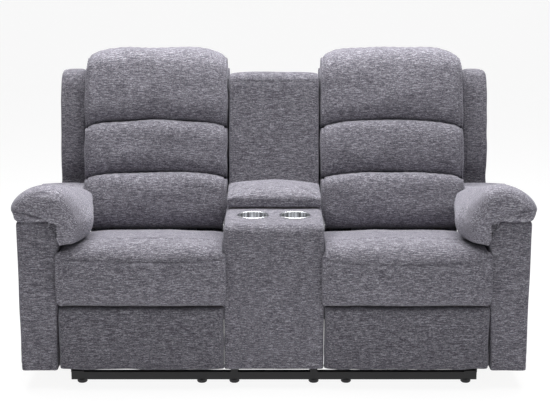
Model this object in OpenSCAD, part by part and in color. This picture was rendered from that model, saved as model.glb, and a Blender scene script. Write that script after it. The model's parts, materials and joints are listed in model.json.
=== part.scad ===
// Power reclining loveseat with a centre console.
// Each seat slides forward on two channels while its back reclines and its footrest lifts.
// X runs to the right, Y runs from the front to the rear, Z runs up.
// The origin lies on the floor, below the middle of the sofa.

/* [Overall] */
// Width over the arm pads
sofa_w = 1704; // [1680:2:1760]
// Depth from the seat fronts to the rear of the backs
sofa_d = 950; // [946:2:980]
// Width of the centre console
console_w = 330; // [316:2:340]
// Width of an arm at its top
arm_w = 141; // [130:1:146]
// Overhang of a pad beyond the outside of its arm
pad_over = 14; // [8:1:20]
// Gap on each side of a moving seat
side_gap = 3.5; // [3:0.5:5]

/* [Base] */
// Height of a floor glide
glide_h = 12; // [8:1:16]
// Radius of a floor glide
glide_r = 17; // [12:1:20]
// Width of a base tube
tube_w = 25; // [20:1:30]
// Height of a base tube
tube_h = 26; // [22:1:28]
// Wall of a base tube
tube_wall = 1.6; // [1.2:0.2:2.4]
// How far the front tube lies behind the seat fronts
base_set_back = 103; // [96:1:110]
// How far the rear tube lies before the rear of the backs
base_rear_gap = 140; // [132:1:150]
// Gap between an arm's top and the end of a cross tube
base_side_gap = 16; // [8:1:24]
// How far the tubes below the console lie inside its walls
console_rail_gap = 31; // [25:1:45]

/* [Arms] */
// Height of an arm body
arm_h = 578; // [570:1:584]
// Height of the lower edge of an arm
arm_low = 66; // [60:1:72]
// How far an arm's front lies behind the seat fronts
arm_set_back = 33; // [28:1:38]
// How far an arm's foot lies before the rear of the backs
arm_rear_gap = 135; // [125:1:145]
// How much wider an arm gap is at the foot than at the top
arm_taper = 20; // [10:1:24]
// Thickness of a covered arm wall
arm_wall = 8; // [6:1:10]
// Thickness of the arm timbers
arm_timber = 20; // [16:1:26]
// Height of an arm pad above the arm body
pad_rise = 98; // [80:1:105]
// Reach of a pad over the seat
pad_reach = 102; // [80:1:110]

/* [Seat] */
// Lower face of the seat timbers
seat_z = 290; // [288:1:294]
// Height of the seat timbers
timber_h = 60; // [50:1:64]
// Thickness of the seat timbers
timber_t = 20; // [16:1:24]
// Height of the seat crest
seat_crest = 500; // [490:1:503]
// Height of the seat at its rear
seat_rear_h = 434; // [425:1:438]
// Distance from the rear of the seat cushions to the recline hinge
seat_hinge_gap = 109; // [104:1:116]
// Diameter of a seat spring wire
spring_d = 3.4; // [2.6:0.2:4]
// Springs below each seat
spring_n = 4; // [3:1:6]

/* [Back] */
// Height of the recline hinge
hinge_z = 330; // [328:1:334]
// Distance from the recline hinge to the rear of the sofa
hinge_back = 310; // [304:1:316]
// Lean of the back at rest
lean = 15; // [14:0.5:16]
// Front of the back frame, square to the lean
frame_n = 60; // [58:1:66]
// Depth of the back frame
frame_t = 40; // [32:1:40]
// Height of the back frame along the lean
frame_v = 622; // [600:1:625]
// Height of the cushions along the lean
back_v = 760; // [745:1:765]
// Width of a wing
wing_w = 88; // [80:1:96]
// Thickness of the covered rear panel
panel_t = 26; // [20:1:30]

/* [Mechanism] */
// Half width of a mechanism over its side plates
mech_half = 190; // [186:1:194]
// Shift of a mechanism towards the arm
mech_shift = 15; // [10:1:18]
// Thickness of the link plates
link_t = 4; // [3:0.5:4]
// Pitch of the link layers
layer = 6; // [6:0.5:6.5]
// Half width of a link
link_r = 8; // [7:0.5:8.5]
// Radius of the link pins
pin_r = 4; // [3:0.5:4.5]
// Running clearance round a pin
pin_gap = 0.05; // [0.03:0.01:0.08]
// Length of a lift arm between its pins
crank_l = 190; // [188:1:192]
// Angle of the lift arm with the seat closed
crank_closed = -58.94; // [-60:0.5:-58]
// Distance from a lift arm to its guide arm
guide_gap = 44; // [42:1:46]
// Radius of the tube that joins the lift arms
torsion_r = 8; // [7:0.5:8.5]
// Height of the slide channels' middle
slide_z = 240; // [238:1:242]
// Height of a slide channel
slide_h = 35; // [33:1:36]
// Travel of a seat on its slides
slide_travel = 80; // [70:1:85]

/* [Footrest] */
// Lower edge of the footrest pad
foot_low = 80; // [78:1:90]
// Height of the footrest pad
foot_h = 206; // [196:1:207]
// Thickness of the footrest pad
foot_t = 50; // [44:1:52]
// Thickness of the footrest board
board_t = 12; // [10:1:12]
// How far the footrest board's rear face lies behind the seat fronts
board_set_back = 69; // [65:1:71]

/* [Console] */
// Height of the console box
console_h = 563; // [556:1:566]
// Lower edge of the console box
console_low = 72; // [68:1:78]
// How far the console's front lies behind the seat fronts
console_set_back = 30; // [25:1:35]
// Thickness of a console wall
console_wall = 14; // [12:1:16]
// Diameter of a cup holder's flange
cup_flange = 103; // [100:1:108]
// Inner diameter of a cup holder
cup_bore = 88; // [80:1:90]
// Depth of a cup holder
cup_depth = 65; // [50:1:75]
// Distance between the cup holders' middles
cup_pitch = 140; // [134:1:142]
// Distance from the seat fronts to the middle of the cup holders
cup_run = 172; // [155:1:175]
// Width of the console bin
bin_w = 240; // [200:2:260]
// Depth of the console bin from its mouth
bin_d = 180; // [140:2:220]
// Thickness of the lid with its padding
lid_t = 58; // [50:1:60]
// Height of the lid's hinge pin above the console
lid_axis = 22; // [20:1:24]
// Travel of a push button
button_travel = 2.5; // [2:0.5:3]

/* [Hidden] */
$fn = 32;

fabric = [0.36, 0.36, 0.39];
steel = [0.12, 0.12, 0.13];
zinc = [0.62, 0.63, 0.65];
timber = [0.72, 0.58, 0.40];
plastic = [0.08, 0.08, 0.09];

seat_gap_z = 0.3;
arm_out = sofa_w / 2 - pad_over;
arm_in = arm_out - arm_w;
console_half = console_w / 2;
seat_in = console_half + side_gap;
seat_out = arm_in - side_gap;
seat_mid = (seat_in + seat_out) / 2;
mech_x = seat_mid + mech_shift;
seat_front = -sofa_d / 2;
rear_end = sofa_d / 2;
arm_front = -seat_front - arm_set_back;
arm_rear = rear_end - arm_rear_gap;
arm_top_rear = arm_rear - 135;
arm_step = [322, 412];
pad_front = seat_front + 10;
pad_rear = arm_top_rear - 15;
board_y = -seat_front - board_set_back;

// Base
base_front = -seat_front - base_set_back;
base_rear = rear_end - base_rear_gap;
base_half = arm_in - base_side_gap;
console_rail_x = console_half - console_rail_gap;
rail_top = glide_h + tube_h;
rail_offset = mech_half + tube_w / 2;
rear_y = base_rear - tube_w;

// Slides
channel_t = 3;
channel_in = mech_half + 4;
channel_out = channel_in + 20;
channel_front = seat_front + 135;
channel_rear = channel_front + 580;
post_ys = [channel_front + 40, channel_rear - 50];
post_w = 20;
post_d = 30;
block_l = 50;
block_ys = [channel_front + 118, channel_rear - 90];

// Link geometry in the YZ plane, with the seat closed
plate_in = mech_half - link_t;
lift_in = plate_in - layer + 0.5;
stay_pin_r = 2.5;
ottoman_in = lift_in - layer;
guide_in = ottoman_in - layer;
stay_in = guide_in - layer;
lift_p = [seat_front + 145, 262];
foot_p = [seat_front + 93, 203];
crank_dir = [cos(crank_closed), sin(crank_closed)];
lift_e = lift_p + crank_l * crank_dir;
link_v = foot_p - lift_e;
link_len = norm(link_v);
guide_w = -link_v / link_len * guide_gap;
guide_p = lift_p + guide_w;
guide_e = lift_e + guide_w;
stay_t = guide_e - 20 * crank_dir;
stay_angle = 117.5;
stay_r = foot_p + 26 * [cos(stay_angle), sin(stay_angle)];
stay_slack = 3.05;
torsion_p = lift_p + 60 * crank_dir;
brace_r = 5;
brace_p = lift_e + 0.5 * link_v + 16 * [link_v[1], -link_v[0]] / link_len * -1;
head_t = 2.2;

// Seat
cushion_low = seat_z + timber_h + spring_d + seat_gap_z;
frame_in = seat_in + 3;
frame_out = seat_out - 3;
hinge_y = rear_end - hinge_back;
seat_rear = hinge_y - seat_hinge_gap;
front_rail_y = seat_front + 45;
rear_rail_y = seat_rear - 16;
draw_y = hinge_y - 135;
drive_p = [hinge_y - 45, 262];
cross_p = [seat_front + 295, 262];
drive_r = 12;

// Back
post_in = 155;
panel_n = frame_n + frame_t + 0.3;
panel_v = 700;
rear_n = (rear_end - hinge_y - 0.974 * panel_v * sin(lean)) / cos(lean);
pillow_n = frame_n - 2.3;
lower_v = 78;
middle_v = 277;
head_v = 467;
wing_in = seat_out + 8;

// Console
console_front = -seat_front - console_set_back;
cup_y = -seat_front - cup_run;
bin_front = seat_front + 309;
bin_rear = hinge_y - 129;
lid_front = seat_front + 279;
lid_rear = hinge_y - 105;
lid_y = lid_rear + 7;
lid_z = console_h + lid_axis;
back_n = 118;
plate_y = seat_front + 185;
plate_z = 526;
button_pitch = 36;

// A point on a circle
function on_circle(c, r, a) = [c[0] + r * cos(a), c[1] + r * sin(a)];
// An arc of n steps
function arc(c, r, a, b, n = 5) = [for (i = [0:n]) on_circle(c, r, a + (b - a) * i / n)];
// A cosine or sine drawn out towards a square
function square_up(c, e) = sign(c) * pow(abs(c), 2 / e);

// One rounded section of a cushion, at x, that shrinks by k from its middle
function pad_ring(x, k, c, r, e, m) = [
    for (j = [0:m - 1])
        let (a = 360 * (j + 0.5) / m)
        [x, c[0] + k * r[0] * square_up(cos(a), e), c[1] + k * r[1] * square_up(sin(a), e)]
];

module side(name) {
    if (name == "left") mirror([1, 0, 0]) children();
    else children();
}

// Draws a YZ outline as a plate from x0 to x1
module along_x(x0, x1) {
    translate([x0, 0, 0]) rotate([90, 0, 90]) linear_extrude(x1 - x0) children();
}

// Draws an XZ outline as a bar from y0 to y1
module along_y(y0, y1) {
    translate([0, y1, 0]) rotate([90, 0, 0]) linear_extrude(y1 - y0) children();
}

// A box between two corners
module box(a, b) {
    translate(a) cube(b - a);
}

module rod_x(p, r, x0, x1) {
    translate([x0, p[0], p[1]]) rotate([0, 90, 0]) cylinder(h = x1 - x0, r = r);
}

// Both sides of a mechanism, drawn for its right hand side at x = 0
module both_hands() {
    translate([mech_x, 0, 0]) {
        children();
        mirror([1, 0, 0]) children();
    }
}

// A flat link between two points of the YZ plane, with a neck narrower than its eyes
module bar(a, b, r) {
    d = b - a;
    neck = 2 * r - 1;
    translate(a) circle(r);
    translate(b) circle(r);
    translate(a) rotate(atan2(d[1], d[0])) translate([0, -neck / 2]) square([norm(d), neck]);
}

// The frame of a back, with y square to the lean and z along it
module on_back() {
    translate([0, hinge_y, hinge_z]) rotate([-lean, 0, 0]) children();
}

// A closed skin over rows of points, with a fan over each end
module skin(rings, end_a, end_b) {
    n = len(rings);
    m = len(rings[0]);
    points = concat([for (r = rings) for (p = r) p], [end_a, end_b]);
    walls = [
        for (i = [0:n - 2]) for (j = [0:m - 1])
            let (a = i * m + j, b = i * m + (j + 1) % m)
            each [[a, b + m, b], [a, a + m, b + m]]
    ];
    caps = [
        for (j = [0:m - 1])
            each [[n * m, j, (j + 1) % m],
                [n * m + 1, (n - 1) * m + (j + 1) % m, (n - 1) * m + j]]
    ];
    polyhedron(points = points, faces = concat(walls, caps), convexity = 6);
}

// A crowned cushion from x0 to x1, whose sides draw in by pull at its ends
module cushion(x0, x1, c, r, e = 3, pull = 0.14, rear = 1000, low = -1000, n = 9, m = 20) {
    rings = [
        for (i = [0:n])
            let (s = -cos(180 * i / n), k = 1 - pull * pow(s, 6))
            [for (p = pad_ring((x0 + x1) / 2 + s * (x1 - x0) / 2, k, c, r, e, m))
                [p[0], min(p[1], rear), max(p[2], low)]]
    ];
    mid = [min(c[0], rear - 5), max(c[1], low + 5)];
    skin(rings, [x0, mid[0], mid[1]], [x1, mid[0], mid[1]]);
}

// Base

module tube_box(a, b, open) {
    t = tube_wall;
    box([a[0] - open[0], a[1] + t - open[1], a[2] + t],
        [b[0] + open[0], b[1] - t + open[1], b[2] - t]);
}

module base_frame() {
    rail_xs = [for (s = [-1, 1]) for (x = [console_rail_x, mech_x - rail_offset, mech_x + rail_offset]) s * x];
    h = tube_w / 2;
    cross_ys = [-base_front, rear_y];
    color(steel) {
        difference() {
            union() {
                for (y = cross_ys) box([-base_half, y, glide_h], [base_half, y + tube_w, rail_top]);
                for (x = rail_xs)
                    box([x - h, -base_front + tube_w, glide_h], [x + h, rear_y, rail_top]);
            }
            for (y = cross_ys)
                tube_box([-base_half, y, glide_h], [base_half, y + tube_w, rail_top], [1, 0]);
            for (x = rail_xs)
                box([x - h + tube_wall, -base_front + h, glide_h + tube_wall],
                    [x + h - tube_wall, rear_y + h, rail_top - tube_wall]);
        }
        for (s = [-1, 1]) {
            for (y = post_ys) for (o = [-1, 1]) slide_post(s * (mech_x + o * rail_offset), y);
            for (y = cross_ys) {
                console_post(s * console_rail_x, y);
                arm_bracket(s, y);
            }
            motor_ears(s);
        }
    }
}

// A post of square tube below a slide channel
module slide_post(x, y) {
    low = rail_top - 0.5;
    difference() {
        box([x - post_w / 2, y, low], [x + post_w / 2, y + post_d, slide_z - slide_h / 2]);
        box([x - post_w / 2 + 2, y + 2, rail_top], [x + post_w / 2 - 2, y + post_d - 2, slide_z]);
    }
}

// A short post below the console box
module console_post(x, y) {
    h = tube_w / 2;
    difference() {
        box([x - h, y, rail_top - 0.5], [x + h, y + tube_w, console_low]);
        box([x - h + 2, y + 2, rail_top], [x + h - 2, y + tube_w - 2, console_low + 1]);
    }
}

// A stepped plate that carries an arm on the end of a cross tube, with its two bolts
module arm_bracket(s, y) {
    t = 4;
    x0 = base_half - 38;
    x1 = base_half + t;
    x2 = arm_in + arm_taper + 50;
    mirror([s < 0 ? 1 : 0, 0, 0]) {
        box([x0, y, rail_top - 0.5], [x1, y + tube_w, rail_top + t]);
        box([x1 - t, y, rail_top - 0.5], [x1, y + tube_w, arm_low]);
        box([x1 - t, y, arm_low - t], [x2, y + tube_w, arm_low]);
        for (x = [x2 - 12, x2 - 34])
            translate([x, y + tube_w / 2, arm_low - t - 4]) cylinder(h = 5, r = 6, $fn = 6);
    }
}

// Two ears with a pin that hold the drive motor
module motor_ears(s) {
    for (o = [-1, 1])
        box([s * mech_x + o * 24 - 2, rear_y, rail_top - 0.5],
            [s * mech_x + o * 24 + 2, rear_y + tube_w, slide_z - 20]);
    rod_x([rear_y + tube_w / 2, slide_z - 36], 4, s * mech_x - 28, s * mech_x + 28);
}

module slide_rails() {
    t = channel_t;
    z0 = slide_z - slide_h / 2;
    z1 = slide_z + slide_h / 2;
    color(zinc)
        for (name = ["left", "right"]) side(name) both_hands()
            along_y(channel_front, channel_rear)
                polygon([[channel_in, z0], [channel_out, z0], [channel_out, z1], [channel_in, z1],
                    [channel_in, z1 - t], [channel_out - t, z1 - t], [channel_out - t, z0 + t],
                    [channel_in, z0 + t]]);
}

// Floor glides below the tubes and a plug in each open tube end
module glides_and_end_caps() {
    t = tube_wall + 0.1;
    color(plastic)
        for (s = [-1, 1]) for (y = [-base_front, rear_y]) {
            for (x = [console_rail_x, mech_x - rail_offset, mech_x + rail_offset])
                translate([s * x, y + tube_w / 2, 0]) {
                    cylinder(h = 3, r1 = glide_r - 3, r2 = glide_r);
                    translate([0, 0, 3]) cylinder(h = glide_h - 3, r = glide_r);
                }
            mirror([s < 0 ? 1 : 0, 0, 0]) {
                box([base_half, y, glide_h], [base_half + 3, y + tube_w, rail_top - 0.8]);
                box([base_half - 16, y + t, glide_h + t],
                    [base_half + 1, y + tube_w - t, rail_top - t]);
            }
        }
}

// A covered board behind each seat, below its back
module rear_skirts() {
    x1 = arm_in + 3;
    color(fabric)
        for (name = ["left", "right"]) side(name)
            along_y(base_rear, base_rear + 9)
                polygon(concat([[console_half + 0.3, rail_top - 10], [x1 + 10, rail_top - 10]],
                    arc([x1 - 8, 332], 8, 0, 90, 4),
                    arc([console_half + 8.3, 332], 8, 90, 180, 4)));
}

// Arms

function arm_side(w, low) = concat(
    [[-arm_front + w, low], [arm_rear - w, low], [arm_rear - 5 - w, arm_step[0] - w],
        [arm_top_rear - w, arm_step[1] - w], [arm_top_rear - w, arm_h - w]],
    arc([-arm_front + 22, arm_h - 22], 22 - w, 90, 180));

function arm_face(w, low) = concat(
    [[arm_in + arm_taper + w, low], [arm_out - w, low]],
    arc([arm_out - 20, arm_h - 20], 20 - w, 0, 90),
    arc([arm_in + 14, arm_h - 14], 14 - w, 90, 180));

// The space inside an arm, w in from its outside
module arm_block(w, low) {
    intersection() {
        along_x(arm_in - 5, arm_out + 5) polygon(arm_side(w, low));
        along_y(-arm_front - 5, arm_rear + 5) polygon(arm_face(w, low));
    }
}

module arm_cover() {
    color(fabric) difference() {
        arm_block(0, arm_low);
        arm_block(arm_wall, arm_low - 5);
    }
}

// Boards and rails inside each arm
module arm_frames() {
    w = arm_wall + seat_gap_z;
    t = arm_timber;
    posts = [-arm_front + w, (arm_top_rear - arm_front) / 2, arm_top_rear - w - t, arm_rear - 5 - w - t];
    color(timber) for (name = ["left", "right"]) side(name) intersection() {
        arm_block(w, arm_low);
        union() {
            for (y = posts) box([arm_in, y, arm_low], [arm_out, y + t, arm_h]);
            box([arm_in, -arm_front, arm_h - w - t], [arm_out, arm_rear, arm_h - w]);
            for (x = [arm_in + arm_taper + w, arm_out - w - 30])
                box([x - 1, -arm_front, arm_low], [x + 30, arm_rear, arm_low + 25]);
        }
    }
}

// A closed smooth curve through a loop of points, with n steps between each two
function smooth_loop(p, n) = [
    for (i = [0:len(p) - 1]) for (k = [0:n - 1])
        let (m = len(p), t = k / n,
            a = p[(i + m - 1) % m], b = p[i], c = p[(i + 1) % m], d = p[(i + 2) % m])
        b + t * (c - a) / 2 + t * t * (a - 2.5 * b + 2 * c - 0.5 * d)
            + t * t * t * (1.5 * b - 1.5 * c + 0.5 * d - 0.5 * a)
];

// The section of an arm pad: a roll over the arm and a lobe that hangs over the seat
pad_loop = [
    [arm_out - 12, arm_h + 0.5], [arm_out + pad_over, arm_h + 27], [arm_out - 22, arm_h + pad_rise - 28],
    [arm_out - 88, arm_h + pad_rise], [arm_in - 20, arm_h + pad_rise - 18],
    [arm_in - 67, arm_h + 42], [arm_in - pad_reach, arm_h - 10], [arm_in - pad_reach + 10, arm_h - 56],
    [arm_in - 50, arm_h - 80], [arm_in - 8, arm_h - 88], [arm_in - 3, arm_h - 60],
    [arm_in - 1, arm_h - 4], [arm_in + 14, arm_h + 0.5]
];

// The section of the pad behind the seat, with the lobe flattened against the arm
function pad_rear_loop(loop) =
    let (lobe = [for (i = [0:len(loop) - 1]) if (loop[i][0] < arm_in + 0.2) i],
        a = lobe[0], n = len(lobe), low = arm_h + 0.5, rise = loop[a - 1][1] - low)
    [for (i = [0:len(loop) - 1])
        i < a || i >= a + n ? loop[i] : [arm_in + 0.2, low + rise * (1 - (i - a + 1) / (n + 1))]];

// A point of the pad at y, between its front and rear sections, where both ends close in
function pad_point(front, rear, y) =
    let (p = front + min(max((y - draw_y) / 38 + 1, 0), 1) * (rear - front),
        f = min((y - pad_front + 1) / 60, 1), g = min((pad_rear + 2 - y) / 70, 1),
        k = 1 - 0.2 * pow(1 - f, 3) - 0.2 * pow(1 - g, 3),
        u = p[0] < arm_in + 8 ? p[0] : p[0] + (k - 1) * (p[0] - arm_in - 60),
        v = p[1] < arm_h ? p[1] : arm_h + 0.3 + k * (p[1] - arm_h - 0.3))
    [p[1] < arm_h - 6 ? min(u, arm_in - 0.5) : u, y, u > arm_in + 8 ? max(v, arm_h + 0.3) : v];

module arm_pad() {
    ys = concat([for (d = [0, 5, 17, 40, 85, 175]) pad_front + d],
        [for (d = [66, 38, 19, 0, -50]) draw_y - d], [for (d = [50, 15, 0]) pad_rear - d]);
    front = smooth_loop(pad_loop, 2);
    rear = pad_rear_loop(front);
    rings = [for (y = ys) [for (i = [len(front) - 1:-1:0]) pad_point(front[i], rear[i], y)]];
    color(fabric)
        skin(rings, [arm_in - 7, ys[0], arm_h + 34], [arm_in + 40, ys[len(ys) - 1], arm_h + 34]);
}

// Console

function console_side(w, low) = concat(
    [[-console_front + w, low], [base_rear + 10 - w, low], [base_rear + 10 - w, 200],
        [base_rear + 28 - w, console_h - w]],
    arc([-console_front + 16, console_h - 16], 16 - w, 90, 180, 4));

module console_block(w, low) {
    half = console_half - w;
    intersection() {
        along_x(-half, half) polygon(console_side(w, low));
        along_y(-console_front - 1, base_rear + 40)
            polygon(concat([[-half, low], [half, low]],
                arc([half - 8, console_h - w - 8], 8, 0, 90, 3),
                arc([8 - half, console_h - w - 8], 8, 90, 180, 3)));
    }
}

module console_cover() {
    color(fabric) difference() {
        console_block(0, console_low);
        console_block(console_wall, console_low - 5);
        for (s = [-1, 1])
            translate([s * cup_pitch / 2, -cup_y, console_h - 30]) cylinder(h = 60, r = cup_bore / 2 + 2);
        box([-bin_w / 2 - 0.3, bin_front - 0.3, console_h - 30], [bin_w / 2 + 0.3, bin_rear + 0.3, console_h + 30]);
        box([-console_half - 5, plate_y - 34.3, plate_z - 14.3],
            [console_half + 5, plate_y + 34.3, plate_z + 14.3]);
        box([-24.3, base_rear - 30, 95.7], [24.3, base_rear + 30, 124.3]);
    }
}

module console_bin() {
    t = 3;
    color(plastic) difference() {
        union() {
            box([-bin_w / 2, bin_front, console_h - bin_d], [bin_w / 2, bin_rear, console_h + 1]);
            box([-bin_w / 2 - 8, bin_front - 8, console_h], [bin_w / 2 + 8, bin_rear + 8, console_h + 2.3]);
        }
        box([-bin_w / 2 + t, bin_front + t, console_h - bin_d + t], [bin_w / 2 - t, bin_rear - t, console_h + 9]);
    }
}

// Spun metal cups with a rolled flange
module cup_holders() {
    r = cup_bore / 2;
    f = cup_flange / 2;
    z = console_h;
    color([0.8, 0.8, 0.82])
        for (s = [-1, 1]) translate([s * cup_pitch / 2, -cup_y, 0])
            rotate_extrude($fn = 64)
                polygon(concat([[0, z - cup_depth], [r - 4, z - cup_depth], [r + 1.7, z - cup_depth + 6],
                    [r + 1.7, z], [f, z], [f, z + 2]],
                    arc([f - 4, z + 2], 4, 0, 90, 4), arc([r + 4, z + 2], 4, 90, 180, 4),
                    [[r, z - cup_depth + 8], [r - 5, z - cup_depth + 2], [0, z - cup_depth + 2]]));
}

// The fixed back above the console
module console_back() {
    top = 660;
    rear = rear_n - 3;
    foot = [for (n = [-104, rear]) (console_h + 0.3 - hinge_z + n * sin(lean)) / cos(lean)];
    outline = concat([[-104, foot[0]], [rear, foot[1]]],
        [for (v = [0.3, 0.6]) [rear, foot[1] + v * (top - foot[1])]],
        arc([rear - 50, top - 50], 50, 0, 90, 4), arc([-54, top - 50], 50, 90, 180, 4),
        [for (v = [0.6, 0.3]) [-104, foot[0] + v * (top - foot[0])]]);
    mid = [14, 430];
    half = console_half - 1.5;
    rings = [
        for (i = [0:8])
            let (s = -cos(180 * i / 8), k = 1 - 0.05 * pow(s, 8))
            [for (p = outline) [s * half, mid[0] + k * (p[0] - mid[0]), mid[1] + k * (p[1] - mid[1])]]
    ];
    color(fabric) on_back() skin(rings, [-half, mid[0], mid[1]], [half, mid[0], mid[1]]);
}

knuckle_l = 38;
knuckle_n = 7;

function knuckle_x(i) = (i - knuckle_n / 2) * knuckle_l;

// The fixed leaf of the lid's long hinge, with every other knuckle and the pin
module lid_hinge() {
    half = knuckle_l * knuckle_n / 2;
    leaf_y = lid_y + 3;
    color(zinc) {
        box([-half, leaf_y, console_h], [half, leaf_y + 38, console_h + 2]);
        box([-half, leaf_y, console_h], [half, leaf_y + 2, lid_z - 7]);
        for (i = [0:2:knuckle_n - 1]) {
            x = knuckle_x(i);
            rod_x([lid_y, lid_z], 5, x + 0.3, x + knuckle_l - 0.3);
            box([x + 0.3, leaf_y, lid_z - 8], [x + knuckle_l - 0.3, leaf_y + 2, lid_z]);
        }
        rod_x([lid_y, lid_z], 2.4, -half, half);
    }
}

// The lid's board with the moving leaf of its hinge
module lid_board() {
    half = knuckle_l * knuckle_n / 2;
    low = console_h + 2.8;
    color(timber) {
        box([-console_half + 14, lid_front + 10, low], [console_half - 14, lid_y - 5, low + 10]);
        difference() {
            union() {
                box([-half, lid_y - 5, low], [half, lid_y - 3, lid_z - 7]);
                for (i = [1:2:knuckle_n - 2]) {
                    x = knuckle_x(i);
                    rod_x([lid_y, lid_z], 5, x + 0.3, x + knuckle_l - 0.3);
                    box([x + 0.3, lid_y - 5, lid_z - 8], [x + knuckle_l - 0.3, lid_y - 3, lid_z]);
                }
            }
            rod_x([lid_y, lid_z], 2.4 + pin_gap, -half - 1, half + 1);
        }
    }
}

module console_lid() {
    low = console_h + 13.1;
    top = console_h + lid_t + 1;
    color(fabric)
        cushion(-console_half + 2, console_half - 2, [(lid_front + lid_rear) / 2, low + 8],
            [(lid_rear - lid_front) / 2, top - low - 8], e = 3.6, pull = 0.1, low = low, m = 22);
}

// Plates with a switch housing on both sides of the console
module switch_plates() {
    out = console_half + 2.3;
    color(plastic) for (s = [0, 1]) mirror([s, 0, 0]) difference() {
        union() {
            box([console_half, plate_y - 40, plate_z - 19], [out, plate_y + 40, plate_z + 19]);
            box([console_half - 24, plate_y - 34, plate_z - 14], [console_half + 1, plate_y + 34, plate_z + 14]);
        }
        for (o = [-0.5, 0.5])
            rod_x([plate_y + o * button_pitch, plate_z], 11.1, console_half - 16, out + 1);
    }
}

module button(o) {
    out = console_half + 2.3;
    y = plate_y + o * button_pitch;
    color([0.75, 0.76, 0.78])
        translate([console_half - 12, y, plate_z]) rotate([0, 90, 0])
            rotate_extrude() polygon([[0, 0], [11, 0], [11, 16], [9.4, 17], [5, 16.4], [0, 16]]);
}

// The socket for the supply lead, low on the rear of the console
module power_inlet() {
    y = base_rear + 10;
    color(plastic) difference() {
        union() {
            box([-30, y, 90], [30, y + 2.5, 130]);
            box([-24, y - 26, 96], [24, y + 1, 124]);
        }
        box([-16, y - 18, 101], [16, y + 3, 119]);
    }
    color(plastic) for (x = [-6, 6]) translate([x, y - 19, 110]) rotate([-90, 0, 0]) cylinder(h = 14, r = 1.6);
}

// Seats

// Side plates with their cross tubes, and bores for the link pins and the recline pins
module seat_chassis() {
    outline = concat(
        [for (p = [[125, seat_z], [125, 252], [139, 238], [163, 222], [201, 220], [245, 224]])
            [seat_front + p[0], p[1]]],
        [for (p = [[43, 224], [51, 232], [51, 290], [19, hinge_z - 8]]) [hinge_y + p[0], p[1]]],
        arc([hinge_y, hinge_z], 20, -10, 190, 8), [[hinge_y - 29, seat_z + 8], [hinge_y - 37, seat_z]]);
    color(steel) difference() {
        union() {
            both_hands() {
                along_x(plate_in, mech_half) polygon(outline);
                box([plate_in - 34, seat_front + 130, seat_z - 4], [plate_in + 0.5, rear_rail_y + timber_t, seat_z]);
                rod_x(guide_p, 8, guide_in + link_t + 0.3, plate_in + 0.5);
            }
            rod_x(cross_p, drive_r, mech_x - plate_in - 1, mech_x + plate_in + 1);
            rod_x(drive_p, drive_r, mech_x - plate_in - 1, mech_x + plate_in + 1);
        }
        for (p = [lift_p, guide_p])
            rod_x(p, pin_r + pin_gap, mech_x - mech_half - 1, mech_x + mech_half + 1);
        rod_x([hinge_y, hinge_z], 6 + pin_gap, mech_x - mech_half - 1, mech_x + mech_half + 1);
        for (p = [cross_p, drive_p])
            rod_x(p, drive_r - 2, mech_x - mech_half - 1, mech_x + mech_half + 1);
    }
}

// Nylon blocks on the side plates that run in the slide channels
module glide_blocks() {
    reach = slide_h / 2 - channel_t - 0.3;
    color([0.85, 0.85, 0.82]) both_hands() for (y = block_ys)
        box([mech_half, y - block_l / 2, slide_z - reach],
            [channel_out - channel_t - 0.3, y + block_l / 2, slide_z + reach]);
}

// Timber box below the seat cushion, with glued corner blocks
module seat_frame() {
    t = timber_t;
    top = seat_z + timber_h;
    rear = rear_rail_y + t;
    color(timber) {
        for (x = [frame_in, frame_out - t]) box([x, front_rail_y, seat_z], [x + t, rear, top]);
        for (y = [front_rail_y, rear_rail_y]) box([frame_in, y, seat_z], [frame_out, y + t, top]);
        box([frame_in, seat_front + 130, seat_z], [frame_out, seat_front + 160, seat_z + 35]);
        for (c = [[frame_in + t, front_rail_y + t, 1, 1], [frame_out - t, front_rail_y + t, -1, 1],
                [frame_in + t, rear_rail_y, 1, -1], [frame_out - t, rear_rail_y, -1, -1]])
            translate([c[0], c[1], seat_z]) linear_extrude(timber_h - 8)
                polygon([[-c[2], -c[3]], [45 * c[2], -c[3]], [45 * c[2], 0], [0, 45 * c[3]],
                    [-c[2], 45 * c[3]]]);
    }
}

// Flat zigzag springs from the front timber to the rear timber
module seat_springs() {
    loops = 11;
    steps = loops * 8;
    y0 = front_rail_y + 6;
    y1 = rear_rail_y + timber_t - 6;
    pitch = (frame_out - frame_in - 110) / (spring_n - 1);
    line = [
        for (k = [0:steps])
            let (t = k / steps, fade = min(8 * t, 8 * (1 - t), 1))
            [fade * 24 * sin(360 * loops * t), y0 + t * (y1 - y0)]
    ];
    edge = [
        for (s = [-1, 1]) [
            for (k = [0:steps])
                let (d = line[min(k + 1, steps)] - line[max(k - 1, 0)])
                line[k] + s * spring_d / 2 * [d[1], -d[0]] / norm(d)
        ]
    ];
    outline = concat(edge[0], [for (k = [steps:-1:0]) edge[1][k]]);
    color(zinc) for (i = [0:spring_n - 1])
        translate([frame_in + 55 + i * pitch, 0, seat_z + timber_h])
            linear_extrude(spring_d) polygon(outline);
}

// The seat's section at s, from -1 at one side to 1 at the other
function seat_section(s) =
    let (c = 24 * pow(s, 4), r = seat_rear_h - 0.5 * c, h = seat_crest - c, f = seat_front)
    [[seat_rear - 4, cushion_low], [seat_rear, cushion_low + 30], [seat_rear - 2, r - 16],
        [seat_rear - 18, r], [seat_rear - 116, r + 0.22 * (h - r)], [seat_rear - 236, r + 0.58 * (h - r)],
        [f + 185, r + 0.86 * (h - r)], [f + 95, h], [f + 44, h - 10], [f + 18, h - 28],
        [f + 8, 452], [f + 1, 426], [f, 380], [f + 3, 330], [f + 13, seat_z + 8],
        [f + 26, seat_z + 0.3], [f + 40, seat_z + 4], [front_rail_y - 0.3, cushion_low]];

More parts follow.
